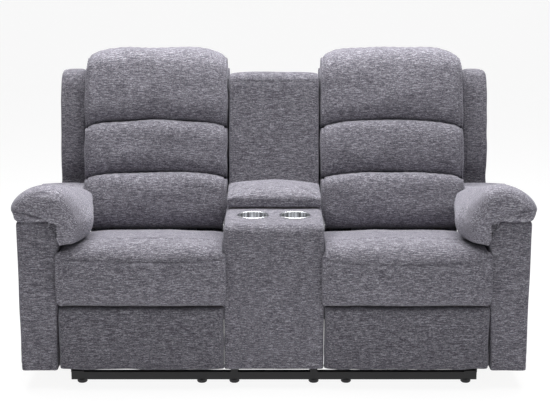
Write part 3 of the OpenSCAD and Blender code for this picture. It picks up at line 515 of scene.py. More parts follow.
@dataclass(frozen=True)
class SawnTimber:
    """Pale frame timber, with rings that follow the length of the sofa."""

    name: str = "frame_timber"
    early: Colour = (0.56, 0.40, 0.23)
    late: Colour = (0.34, 0.20, 0.10)

    def make(self) -> bpy.types.Material:
        """The timber as a material."""
        material, w, shader, place = new_material(self.name)
        drawn = w.stretch(place, 0.08, 1.0, 1.0)
        rings = w.add("TexWave", {"Vector": drawn, "Scale": 38.0, "Distortion": 5.0, "Detail": 3.0,
                                  "Detail Scale": 1.2}, wave_type="RINGS", rings_direction="X")
        fibre = w.noise(w.stretch(place, 0.05, 1.0, 1.0), 700.0, 3.0)
        share = w.sum("ADD", w.sum("MULTIPLY", rings.outputs["Fac"], 0.6), w.sum("MULTIPLY", fibre, 0.35))
        relief = w.add("Bump", {"Height": fibre, "Strength": 0.25, "Distance": 0.0008})
        links = w.tree.links
        links.new(w.blend(share, self.early, self.late), shader.inputs["Base Color"])
        links.new(w.span(fibre, 0.2, 0.8, 0.62, 0.8), shader.inputs["Roughness"])
        links.new(relief.outputs["Normal"], shader.inputs["Normal"])
        return material


@dataclass(frozen=True)
class SpunMetal:
    """Bright spun metal, brushed in rings by its wheel."""

    name: str = "spun_chrome"
    colour: Colour = (0.80, 0.81, 0.83)
    painted_reflection_dark: Colour = (0.22, 0.22, 0.23)
    pitch: float = 0.140

    def make(self) -> bpy.types.Material:
        """The metal as a material, with dark upright stripes on a cup's wall that are painted reflections of
        darker surroundings.
        """
        material, w, shader, place = new_material(self.name)
        across = w.add("SeparateXYZ", {0: place}).outputs
        off_axis = w.sum("SUBTRACT", w.sum("ABSOLUTE", across["X"]), self.pitch / 2)
        # Painted reflection: dark upright stripes on the walls stand for the darker surroundings that the chrome
        # would reflect.
        painted_reflection_bands = w.span(w.noise(w.add("CombineXYZ", {"X": off_axis}).outputs[0], 95.0, 1.0), 0.42, 0.58)
        facing = w.add("SeparateXYZ", {0: w.add("NewGeometry").outputs["Normal"]}).outputs["Z"]
        upright = w.span(w.sum("ABSOLUTE", facing), 0.3, 0.1)
        rings = w.noise(w.stretch(place, 0.3, 0.3, 1.0), 900.0, 2.0)
        smudge = w.noise(place, 45.0, 3.0)
        relief = w.add("Bump", {"Height": rings, "Strength": 0.05, "Distance": 0.0003})
        links = w.tree.links
        colour = w.blend(w.span(smudge, 0.3, 0.8), self.colour, (0.70, 0.71, 0.73))
        links.new(w.blend(w.sum("MULTIPLY", painted_reflection_bands, upright), colour, self.painted_reflection_dark), shader.inputs["Base Color"])
        links.new(w.sum("ADD", w.span(smudge, 0.3, 0.8, 0.12, 0.2), w.sum("MULTIPLY", upright, 0.28)),
                  shader.inputs["Roughness"])
        links.new(relief.outputs["Normal"], shader.inputs["Normal"])
        shader.inputs["Metallic"].default_value = 1.0
        return material


class Finishes:
    """Every finish of the sofa, made once, by the record's slot names."""

    def __init__(self) -> None:
        """Makes the materials."""
        self.cloth = Upholstery(level=0.94).make()
        # Painted shade: a darker copy of the cloth for the upright panels, the arms' covers, the console's cover
        # and the rear skirts, which the lamps light less.
        self.painted_shade_panel_cloth = Upholstery(name="heather_cloth_lower", level=0.90).make()
        # Painted light: a brighter copy of the cloth for the arm pads, whose tops are lit from above.
        self.painted_light_pad_cloth = Upholstery(name="heather_cloth_pads", level=1.14).make()
        # Painted shade: a much darker copy of the cloth for the wings, the console's back and the footrests, which
        # lie in shade.
        self.shaded_cloth = Upholstery(name="heather_cloth_shaded", level=0.74).make()
        self.by_slot = {
            "black_steel": HardFinish("black_paint", (0.010, 0.010, 0.011), (0.07, 0.07, 0.07), 0.55,
                                      dust=0.12).make(),
            "zinc_steel": HardFinish("zinc_plate", (0.47, 0.48, 0.50), (0.62, 0.63, 0.65), 0.34,
                                     metal=1.0, dust=0.35, grain=0.12).make(),
            "timber": SawnTimber().make(),
            "black_plastic": HardFinish("black_moulding", (0.016, 0.016, 0.018), (0.05, 0.05, 0.05), 0.55,
                                        grain=0.3).make(),
            "nylon": HardFinish("nylon_block", (0.70, 0.69, 0.64), (0.80, 0.79, 0.75), 0.45,
                                grain=0.2).make(),
            "cup_chrome": SpunMetal().make(),
            "button_face": HardFinish("button_face", (0.50, 0.51, 0.53), (0.62, 0.63, 0.65), 0.32,
                                      dust=0.15, coat=0.5).make(),
        }

    def dress_nodes(self, hidden: set[str]) -> None:
        """Gives every part that stays in sight its finish, by the slot that the record names.

        Args:
            hidden: The parts that a piece of this script stands for.
        """
        for part in frame["record"]["subparts"]:
            name, slot = part["node"], part["material_slot"]
            if name in hidden or slot not in self.by_slot:
                continue
            mesh = frame["nodes"][name].data
            mesh.materials.clear()
            mesh.materials.append(self.by_slot[slot])
            log.info("part %s keeps its shape, finished as %s", name, slot)


# Soft pieces


def rounded_run(half: float, depth: float, exponent: float, count: int) -> tuple[Array, Array]:
    """Even steps along half of a squared-up oval, from one end over the top to the other.

    The oval is |s|^e + k^e = 1, drawn half wide and depth high before the steps are measured.

    Args:
        half: Half the width.
        depth: The height of the oval.
        exponent: The exponent e, larger for squarer corners.
        count: How many points are wanted.

    Returns:
        The place s from -1 to 1, and the height k from 0 to 1, of each point.
    """
    angle = np.linspace(np.pi, 0, 4000)
    curve = np.stack([half * square_up(np.cos(angle), exponent),
                      depth * square_up(np.sin(angle), exponent)], 1)
    steps = even_steps(curve, count)
    return np.clip(steps[:, 0] / half, -1, 1), np.clip(steps[:, 1] / depth, 0, 1)


def slab(low: tuple[float, float, float], high: tuple[float, float, float], exponents: tuple[float, float],
         counts: tuple[int, int], draw_in: float) -> tuple[Array, Array, Array]:
    """A thin board: a squared-up oval section carried across, a little lower towards its two ends.

    Args:
        low: Its lowest place across, along its depth and up its height.
        high: Its highest ones.
        exponents: The exponents of the run across and of the section, larger for squarer corners.
        counts: How many points the run across and the section get.
        draw_in: The share of its height that is lost at the ends.

    Returns:
        The place across, along the depth and up the height of each point, ring by ring.
    """
    middle, half = [(a + b) / 2 for a, b in zip(low, high)], [(b - a) / 2 for a, b in zip(low, high)]
    s, k = rounded_run(half[0], half[1], exponents[0], counts[0])
    angle = np.linspace(0, 2 * np.pi, counts[1], endpoint=False)
    depth = middle[1] + half[1] * k[:, None] * square_up(np.cos(angle), exponents[1])[None]
    drawn = 1 - draw_in * (1 - k[:, None])
    height = middle[2] + half[2] * drawn * square_up(np.sin(angle), exponents[1])[None]
    return np.broadcast_to((middle[0] + s * half[0])[:, None], depth.shape), depth, height


def draw_outline(outline: Array, middle: Array, depth: float, k: Array) -> Array:
    """An outline drawn in towards its middle: by the whole depth where k is 0, and not at all at 1."""
    out = outline - middle
    reach = np.linalg.norm(out, axis=1, keepdims=True)
    return middle + out * (1 - (1 - k[:, None, None]) * depth / reach[None])


def groove(distance: Array, width: float) -> Array:
    """The section of a sewn crease: exp(-(d/w)^2), 1 in the crease and 0 away from it."""
    return np.exp(-((distance / width) ** 2))


def upholster(piece: bpy.types.Object, body: str, nodes: list[str], finish: bpy.types.Material) -> None:
    """Covers a piece with its cloth, and says which body it rides on and which parts it stands for.

    Args:
        piece: The finished piece.
        body: The body that carries it.
        nodes: The parts that it replaces.
        finish: Its material.
    """
    piece.data.materials.clear()
    piece.data.materials.append(finish)
    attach(piece, body)
    if nodes:
        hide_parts(*nodes)
    log.info("piece %s: %d points, rides on %s", piece.name, len(piece.data.vertices), body)


@dataclass
class Lean:
    """The frame of a back: n is square to it and v runs up along it."""

    hinge_y: float
    hinge_z: float
    angle: float = math.radians(15)

    def place(self, x: Array, n: Array, v: Array) -> Array:
        """Points of the sofa from x, n and v: a turn about the hinge by the lean."""
        c, s = math.cos(self.angle), math.sin(self.angle)
        return np.stack([x, self.hinge_y + n * c + v * s, self.hinge_z - n * s + v * c], axis=-1)

    def read(self, points: Array) -> tuple[Array, Array, Array]:
        """The x, n and v of points of the sofa."""
        c, s = math.cos(self.angle), math.sin(self.angle)
        y, z = points[:, 1] - self.hinge_y, points[:, 2] - self.hinge_z
        return points[:, 0], y * c - z * s, y * s + z * c


def hinge_of(side: Side) -> tuple[float, float]:
    """The Y and Z of a seat's recline hinge, from the record's joint."""
    joint = next(j for j in frame["joints"] if j["name"] == side.node("recline"))
    return joint["pos_m"][1], joint["pos_m"][2]


@dataclass
class Chamber:
    """One pillow of a back: its range along the lean, how far it comes forward and its seams."""

    name: str
    low: float
    high: float
    front: float
    shoulder: float
    arch_low: float
    arch_high: float
    over_top: bool = False
    seed: int = 1


@dataclass
class BackRest:
    """A seat's back: three sewn pillows, the padded rear panel and the wing beside them."""

    side: Side
    lower_v: float = 0.078
    middle_v: float = 0.265
    head_v: float = 0.454
    top_v: float = 0.756
    rear_n: float = 0.0577
    roll_n: float = 0.0985
    frame_top_v: float = 0.650
    core_n: float = -0.030
    corner: float = 9.0
    droop: float = 0.010
    ease_in: float = 0.001
    ease_out: float = 0.0065
    step: float = 0.0075
    filling: Filling = field(default_factory=lambda: Filling(pressure=4.5, limit=0.014))

    def __post_init__(self) -> None:
        """Reads the width and the hinge from the frame."""
        low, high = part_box("right_head_pillow")
        x_in, x_out = low.x - self.ease_in, high.x + self.ease_out
        self.x_mid = (x_in + x_out) / 2
        self.half = (x_out - x_in) / 2
        self.lean = Lean(*hinge_of(Side.RIGHT))
        self.body = self.side.node("back")

    def chambers(self) -> list[Chamber]:
        """The three pillows from the bottom up."""
        shift = 0 if self.side is Side.RIGHT else 40
        return [
            Chamber("lower_pillow", self.lower_v, self.middle_v, -0.146, 0.040, 0.0, 0.017, seed=11 + shift),
            Chamber("middle_pillow", self.middle_v, self.head_v, -0.122, 0.034, 0.017, 0.023,
                    seed=12 + shift),
            Chamber("head_pillow", self.head_v, self.top_v, -0.116, 0.036, 0.023, 0.0, True, seed=13 + shift),
        ]

    def arch(self, s: Array, rise: float) -> Array:
        """How far a seam lies above its place at s: an arch, rise (1 - s^2), that droops at its ends."""
        droop = self.droop if rise else 0.0
        return rise * (1 - s**2) - droop * np.abs(s) ** 10

    def section(self, chamber: Chamber) -> Array:
        """The loop of a pillow's section, with n along the depth and v from 0 at its low seam to 1.

        The shoulders round off towards both seams, and the rear lies flat on the frame.
        """
        f, d, r = chamber.front, chamber.shoulder, self.rear_n
        if chamber.over_top:
            corners = [(f, 0.42), (f + 0.05 * d, 0.62), (f + 0.35 * d, 0.80), (f + 1.15 * d, 0.925),
                       (f + 2.3 * d, 0.985), (-0.006, 1.0), (0.030, 0.993), (0.066, 0.955), (0.091, 0.86),
                       (0.0985, 0.76), (0.097, 0.675), (0.078, 0.645), (r, 0.62), (r, 0.4), (r, 0.2),
                       (r, 0.03), (0.03, 0.0), (-0.02, 0.0), (f + 1.25 * d, 0.0), (f + 0.62 * d, 0.045),
                       (f + 0.16 * d, 0.17)]
        else:
            corners = [(f, 0.5), (f + 0.03 * d, 0.74), (f + 0.18 * d, 0.88), (f + 0.55 * d, 0.965),
                       (f + 1.3 * d, 1.0), (-0.02, 1.0), (0.035, 1.0), (r, 0.96), (r, 0.7), (r, 0.3),
                       (r, 0.04), (0.035, 0.0), (-0.02, 0.0), (f + 1.3 * d, 0.0), (f + 0.7 * d, 0.04),
                       (f + 0.25 * d, 0.16), (f + 0.04 * d, 0.32)]
        span = chamber.high - chamber.low
        loop = np.array(corners) * [1, span]
        around = np.linalg.norm(np.diff(loop, axis=0, append=loop[:1]), axis=1).sum()
        return smooth_loop(loop, round(around / self.step)) / [1, span]

    def make_pillow(self, chamber: Chamber) -> bpy.types.Object:
        """A pillow: its section carried across the seat, with ends that round back to the side walls.

        Args:
            chamber: Which pillow.

        Returns:
            The piece, blown up and sewn.
        """
        depth = self.core_n - chamber.front
        count = round((2 * self.half + 2 * depth) / self.step)
        s, k = rounded_run(self.half - 0.003, depth, self.corner, count)
        loop = self.section(chamber)
        x = (self.x_mid + s * (self.half - 0.003))[:, None]
        low = (chamber.low + self.arch(s, chamber.arch_low))[:, None]
        high = (chamber.high + self.arch(s, chamber.arch_high))[:, None]
        ahead = np.minimum(loop[None, :, 0] - self.core_n, 0)
        n = self.core_n + ahead * k[:, None] + np.maximum(loop[None, :, 0] - self.core_n, 0)
        v = low + loop[None, :, 1] * (high - low)
        if chamber.over_top:
            v = v - 0.040 * (np.abs(s) ** 6)[:, None] * ease(loop[None, :, 1] * 2 - 1)
            x = self.x_mid + (x - self.x_mid) * (1 - 0.018 * ease((loop[None, :, 1] - 0.62) / 0.38))
        x, n, v = np.broadcast_arrays(x, n, v)
        piece = build(self.side.node(chamber.name), self.side.turn(self.lean.place(x, n, v)))
        self.stuff(piece, chamber)
        return piece

    def stuff(self, piece: bpy.types.Object, chamber: Chamber) -> None:
        """Blows a pillow up, holds it between its seams and the frame, and sews its sides."""
        x, n, v = self.lean.read(self.side.turn(read_points(piece)))
        held = np.where((n > self.rear_n - 0.004) | (np.abs(n - self.core_n) < 0.02), 1.0, 0.0)
        self.filling.blow_up(piece, held)
        refine(piece)
        x, n, v = self.lean.read(self.side.turn(read_points(piece)))
        x, n, v = self.hold(chamber, x, n, v)
        write_points(piece, self.side.turn(self.lean.place(x, n, v)))
        self.sew(piece, chamber)

    def hold(self, chamber: Chamber, x: Array, n: Array, v: Array) -> tuple[Array, Array, Array]:
        """Keeps points between the seat's sides, the two seams, the frame and the room in front."""
        s = np.clip((x - self.x_mid) / self.half, -1, 1)
        gap = 0.0004
        low = chamber.low + self.arch(s, chamber.arch_low) + gap
        top = chamber.high + self.arch(s, chamber.arch_high) + (0.004 if chamber.over_top else -gap)
        rear = np.where(v < self.frame_top_v, self.rear_n, self.roll_n)
        x = np.clip(x, self.x_mid - self.half, self.x_mid + self.half)
        return x, np.minimum(n, rear), np.clip(v, low, top)

    def sew(self, piece: bpy.types.Object, chamber: Chamber) -> None:
        """Draws in the upright side seams, gathers the cloth beside them and makes the front uneven.

        The gathers are waves along the seam, sharpened by an absolute value, that fade inwards.
        """
        points = read_points(piece)
        x, n, v = self.lean.read(self.side.turn(points))
        inset = self.half - np.abs(x - self.x_mid)
        ahead = ease((self.rear_n - 0.01 - n) / 0.05)
        seam = groove(inset - 0.013, 0.0035) * ahead
        ripple = np.sin(v * 2 * np.pi / 0.021 + 1.6 * folds(points, chamber.seed, 0.09))
        gather = (np.abs(ripple) - 0.6) * groove(inset - 0.020, 0.016) * ahead
        near_seam = groove(v - chamber.low, 0.03) + groove(v - chamber.high, 0.03)
        across = np.sin(x * 2 * np.pi / 0.034 + 2.0 * folds(points, chamber.seed + 3, 0.11))
        sway = folds(points * [1.0, 1.2, 1.8], chamber.seed + 5, 0.16)
        push = (-0.0045 * seam + 0.0026 * gather + 0.0007 * across * near_seam * ahead
                + 0.0017 * sway * ahead)
        raise_points(piece, push)

    def make_rear_panel(self) -> bpy.types.Object:
        """The thin padded panel behind the frame: a squared-up oval section carried across."""
        n0, n1, v0, v1 = 0.1006, 0.1375, 0.063, 0.699
        half_x = self.half + 0.0008
        centre = self.x_mid - self.half + half_x
        reach = half_x - 0.0015
        x, n, v = slab((centre - reach, n0, v0), (centre + reach, n1, v1), (4.0, 14.0), (64, 110), 0.012)
        piece = build(self.side.node("rear_panel"), self.side.turn(self.lean.place(x, n, v)), caps=3)
        refine(piece)
        points = read_points(piece)
        _, n, v = self.lean.read(points)
        beside = half_x - np.abs(self.side.sign * points[:, 0] - centre)
        inset = np.minimum(beside, np.minimum(v - v0, v1 - v))
        push = -0.0022 * groove(inset - 0.016, 0.003) - 0.0006 * (1 + folds(points, 90, 0.12))
        raise_points(piece, push * (n > n1 - 0.01))
        return piece

    def make_wing(self) -> bpy.types.Object:
        """The wing: a side outline carried outwards, padded in the middle and sewn along both edges."""
        x0 = self.x_mid + self.half + 0.0020
        x1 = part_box("right_back_cover")[1].x + 0.0050
        rear = 0.1375
        outline = np.array([(0.008, 0.186), (0.009, 0.262), (-0.022, 0.330), (-0.034, 0.450), (-0.034, 0.570),
                            (-0.030, 0.625), (-0.010, 0.664), (0.040, 0.684), (0.090, 0.680), (0.122, 0.662),
                            (rear, 0.60), (rear, 0.50), (rear, 0.38), (rear, 0.26), (0.130, 0.190),
                            (0.070, 0.182)])
        loop = smooth_loop(outline, 190)
        s, k = rounded_run((x1 - x0) / 2, 0.016, 3.2, 26)
        ring = draw_outline(loop, np.array([0.05, 0.43]), 0.016, k)
        x = np.broadcast_to(((x0 + x1) / 2 + s * (x1 - x0) / 2)[:, None], ring.shape[:2])
        points = self.side.turn(self.lean.place(x, ring[..., 0], ring[..., 1]))
        piece = build(self.side.node("wing"), points, caps=14)
        refine(piece)
        points = read_points(piece)
        x, n, v = self.lean.read(self.side.turn(points))
        seam = groove(np.minimum(x - x0, x1 - x) - 0.013, 0.003)
        front = ease((0.02 - n) / 0.03) + ease((v - 0.64) / 0.03)
        sway = folds(points, 33 + self.side.sign, 0.10)
        push = -0.002 * seam * np.clip(front, 0, 1) - 0.0007 * (1 + sway)
        raise_points(piece, push)
        return piece

    def make(self, finishes: Finishes) -> list[str]:
        """Makes the whole back.

        Args:
            finishes: The sofa's materials.

        Returns:
            The parts that its pieces stand for.
        """
        for chamber in self.chambers():
            pillow = self.make_pillow(chamber)
            upholster(pillow, self.body, [self.side.node(chamber.name)], finishes.cloth)
        panel, wing = self.make_rear_panel(), self.make_wing()
        upholster(panel, self.body, [self.side.node("back_cover")], finishes.cloth)
        upholster(wing, self.body, [self.side.node("back_cover")], finishes.shaded_cloth)
        return [self.side.node(n) for n in ("lower_pillow", "middle_pillow", "head_pillow", "back_cover")]


@dataclass
class SeatCushion:
    """A seat's cushion: a crowned block with an ear in front of the arm and one before the console."""

    side: Side
    crest: float = 0.498
    rear_height: float = 0.432
    low: float = 0.3537
    side_drop: float = 0.015
    ear_plane: float = -0.4478
    step: float = 0.0078
    filling: Filling = field(default_factory=lambda: Filling(pressure=4.0, limit=0.022))

    def __post_init__(self) -> None:
        """Reads the widths from the frame."""
        self.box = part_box("right_seat_cushion")
        inner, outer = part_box("right_head_pillow")
        self.x_in, self.x_out = inner.x, outer.x
        self.x_mid = (self.x_in + self.x_out) / 2
        self.half = (self.x_out - self.x_in) / 2
        self.front = self.box[0].y
        self.body = self.side.node("carriage")

    def section(self, s: Array) -> Array:
        """The corners of the section at each s: the crown falls off to the sides as s^4.

        Args:
            s: Places across the seat, from -1 to 1.

        Returns:
            Eighteen corners with their Y and Z for each place, from the rear foot round over the top.
        """
        drop = self.side_drop * s**4
        r, h = self.rear_height - 0.5 * drop, self.crest - drop
        f = self.front + 0.004 + 0.006 * s**2
        o = np.zeros_like(s)
        rear = self.box[1].y
        rows = [(rear - 0.004, self.low), (rear, self.low + 0.030), (rear - 0.002, r - 0.016),
                (rear - 0.018, r), (-0.060, r + 0.22 * (h - r)), (-0.180, r + 0.58 * (h - r)),
                (-0.290, r + 0.88 * (h - r)), (f + 0.112, h), (f + 0.060, h - 0.0025), (f + 0.028, h - 0.011),
                (f + 0.009, h - 0.026), (f + 0.001, 0.440), (f, 0.380), (f + 0.003, 0.330),
                (f + 0.012, 0.300), (f + 0.026, 0.2908), (-0.434, 0.2945), (-0.4303, self.low)]
        return np.stack([np.stack([y + o, z + o], -1) for y, z in rows])

    def ear(self, k: Array) -> Array:
        """The corners of an ear's section, drawn in by k: the front of the section before the ear plane."""
        main = self.section(np.ones(1))[:, 0]
        behind = np.array([0.356, 0.364, 0.374, 0.389, 0.407, 0.427, 0.447, 0.465, 0.476])
        corners = np.minimum(main, [self.ear_plane, 1.0])
        corners[:9] = np.stack([np.full(9, self.ear_plane), behind], -1)
        corners[17] = (self.ear_plane, 0.349)
        mid = np.array([self.front + 0.014, 0.385])
        return mid + k[None, :, None] * (corners - mid)[:, None]

    def make(self, finish: bpy.types.Material) -> str:
        """Makes the cushion: blown up, held on its frame, then creased at its seams.

        Args:
            finish: Its cloth.

        Returns:
            The part that it stands for.
        """
        s = np.linspace(-1, 1, round(2 * self.half / self.step))
        turn = np.linspace(0, 1, 5)[1:]
        shrink = 1 - 0.16 * turn**2.4
        inner = self.x_in - 0.0006 - (self.x_in - 0.0006 - self.box[0].x) * turn
        outer = self.x_out + 0.0006 + (self.box[1].x - self.x_out - 0.0006) * turn
        one = np.ones(1)
        corners = np.concatenate([self.ear(shrink[::-1]), self.ear(one), self.section(s), self.ear(one),
                                  self.ear(shrink)], axis=1)
        x = np.concatenate([inner[::-1], [self.x_in - 0.0006], self.x_mid + s * self.half,
                            [self.x_out + 0.0006], outer])
        count = corners.shape[1]
        loops = smooth_loop(corners.reshape(18, -1), 172).reshape(-1, count, 2).transpose(1, 0, 2)
        rings = np.concatenate([np.broadcast_to(x[:, None, None], loops.shape[:2] + (1,)), loops], axis=2)
        name = self.side.node("seat_cushion")
        piece = build(name, self.side.turn(rings))
        points = self.side.turn(read_points(piece))
        behind_ear = points[:, 1] > self.ear_plane - 0.001
        at_side = np.abs(points[:, 0] - self.x_mid) > self.half - 0.004
        under = (points[:, 2] < self.low + 0.006) & (points[:, 1] > -0.436)
        rear = points[:, 1] > self.box[1].y - 0.008
        self.filling.blow_up(piece, np.where(under | rear | (at_side & behind_ear), 1.0, 0.0))
        refine(piece)
        self.sew(piece)
        upholster(piece, self.body, [name], finish)
        return name

    def sew(self, piece: bpy.types.Object) -> None:
        """Keeps the cushion in its room, then adds its two curved seams, side seams and slack folds."""
        points, way = self.side.read(piece)
        x, y, z = points.T
        s = np.clip((x - self.x_mid) / self.half, -1.1, 1.1)
        seed = 60 + self.side.sign
        to_front = ease((-way[:, 1] - 0.25) / 0.3)
        to_top = ease((way[:, 2] - 0.5) / 0.3)
        bow = 0.016 if self.side is Side.RIGHT else 0.006
        crease_z = 0.452 - bow * (1 - s**2) + 0.002 * folds(points * [1, 0, 0], seed, 0.25, 4)
        crease = groove(z - crease_z, 0.0046) * to_front * ease((1.02 - np.abs(s)) / 0.05)
        above = np.exp(-np.clip(z - crease_z, 0, 1) / 0.03) * (z > crease_z) * to_front
        top_y = -0.352 - 0.014 * (1 - s**2)
        top_seam = groove(y - top_y, 0.008) * to_top
        corner = groove(np.abs(s) - 0.985, 0.007) * to_front * (z < crease_z)
        sway = folds(points, seed + 1, 0.17)
        slack = folds(points * [1.0, 2.2, 2.2], seed + 2, 0.10)
        low_edge = np.exp(-np.clip(z - 0.291, 0, 1) / 0.02)
        scallop = folds(points * [1.0, 0, 0], seed + 3, 0.09, 5) * low_edge * to_front
        soft = np.maximum(to_front, to_top)
        push = (-0.0060 * crease + 0.0020 * above - 0.0042 * top_seam - 0.0012 * corner
                + (0.0014 * sway + 0.0007 * slack) * soft + 0.0012 * scallop)
        points = points + way * push[:, None]
        beyond = np.abs(points[:, 0] - self.x_mid) > self.half
        points[:, 1] = np.where(beyond, np.minimum(points[:, 1], self.ear_plane + 0.001), points[:, 1])
        low, high = self.box
        points = np.clip(points, [low.x, low.y - 0.006, low.z], [high.x, high.y, high.z + 0.006])
        write_points(piece, self.side.turn(points))


@dataclass
class FootrestPad:
    """The padded front of a footrest: a squared-up oval section, flat on its board."""

    side: Side
    inset: float = 0.004
    widen: float = 0.0044
    hang: float = 0.008
    step: float = 0.0075
    filling: Filling = field(default_factory=lambda: Filling(pressure=3.0, limit=0.010))

    def make(self, finish: bpy.types.Material) -> str:
        """Makes the pad, blown up on its board.

        Args:
            finish: Its cloth.

        Returns:
            The part that it stands for.
        """
        low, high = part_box("right_footrest_pad")
        low.x, high.x, low.z = low.x - self.widen, high.x + self.widen, low.z - self.hang
        x_mid, half = (low.x + high.x) / 2, (high.x - low.x) / 2
        z_mid, tall = (low.z + high.z) / 2, (high.z - low.z) / 2
        deep = high.y - low.y
        s, k = rounded_run(half - 0.001, deep, 8.0, round((2 * half + 2 * deep) / self.step))
        angle = np.linspace(0, 2 * np.pi, 720, endpoint=False)
        oval = np.stack([-square_up(np.cos(angle), 6.0) * (deep - self.inset),
                         square_up(np.sin(angle), 6.0) * tall], 1)
        oval[:, 0] = np.minimum(oval[:, 0], 0)
        loop = even_steps(np.vstack([oval, oval[:1]]), 76)[:-1]
        y = high.y + loop[None, :, 0] * k[:, None]
        z = z_mid + loop[None, :, 1] * (1 - 0.02 * (1 - k[:, None]))
        x = np.broadcast_to((x_mid + s * (half - 0.001))[:, None], y.shape)
        name = self.side.node("footrest_pad")
        piece = build(name, self.side.turn(np.stack([x, y, z], -1)), caps=3)
        points = read_points(piece)
        self.filling.blow_up(piece, np.where(points[:, 1] > high.y - 0.003, 1.0, 0.0))
        refine(piece)
        points, way = self.side.read(piece)
        seed = 80 + self.side.sign
        to_front = ease((-way[:, 1] - 0.2) / 0.3)
        rim = np.minimum(half - np.abs(points[:, 0] - x_mid), tall - np.abs(points[:, 2] - z_mid))
        sway = folds(points, seed, 0.15)
        hem = folds(points * [1, 0, 1], seed + 1, 0.07, 5) * np.exp(-np.clip(rim, 0, 1) / 0.02)
        push = 0.0012 * sway * to_front + 0.0012 * hem - 0.0015 * groove(rim - 0.014, 0.004) * to_front
        points = points + way * push[:, None]
        points = np.clip(points, [low.x, low.y - 0.003, low.z - 0.002], [high.x, high.y, high.z + 0.001])
        write_points(piece, self.side.turn(points))
        upholster(piece, self.side.node("footrest"), [name], finish)
        return name


def box_rings(x0: Array, x1: Array, y0: Array, y1: Array, z: Array, radius: Array, steps: int = 6,
              across: int = 24, along: int = 70) -> Array:
    """Level rings with rounded corners: straight runs joined by quarter circles, all of one length.

    Args:
        x0: The lowest X of each ring.
        x1: The highest X of each ring.
        y0: The front of each ring.
        y1: The rear of each ring.
        z: The height of each ring.
        radius: The corner radius of each ring.
        steps: How many steps turn a corner.
        across: How many steps run along X.
        along: How many steps run along Y.

    Returns:
        Rings of points.
    """
    quarter = np.linspace(0, np.pi / 2, steps + 1)
    corners = [(x1, y1, 0), (x0, y1, 1), (x0, y0, 2), (x1, y0, 3)]
    parts = []
    for cx, cy, turn in corners:
        sx, sy = (1, -1, -1, 1)[turn], (1, 1, -1, -1)[turn]
        angle = quarter + turn * np.pi / 2
        px = (cx - sx * radius)[:, None] + radius[:, None] * np.cos(angle)
        py = (cy - sy * radius)[:, None] + radius[:, None] * np.sin(angle)
        parts.append(np.stack([px, py], -1))
    runs = []
    for number, part in enumerate(parts):
        following = parts[(number + 1) % 4]
        share = np.linspace(0, 1, (across if number % 2 == 0 else along) + 1)[1:-1][None, :, None]
        runs += [part, part[:, -1:] + share * (following[:, :1] - part[:, -1:])]
    flat = np.concatenate(runs, axis=1)
    return np.concatenate([flat, np.broadcast_to(z[:, None, None], flat.shape[:2] + (1,))], axis=2)


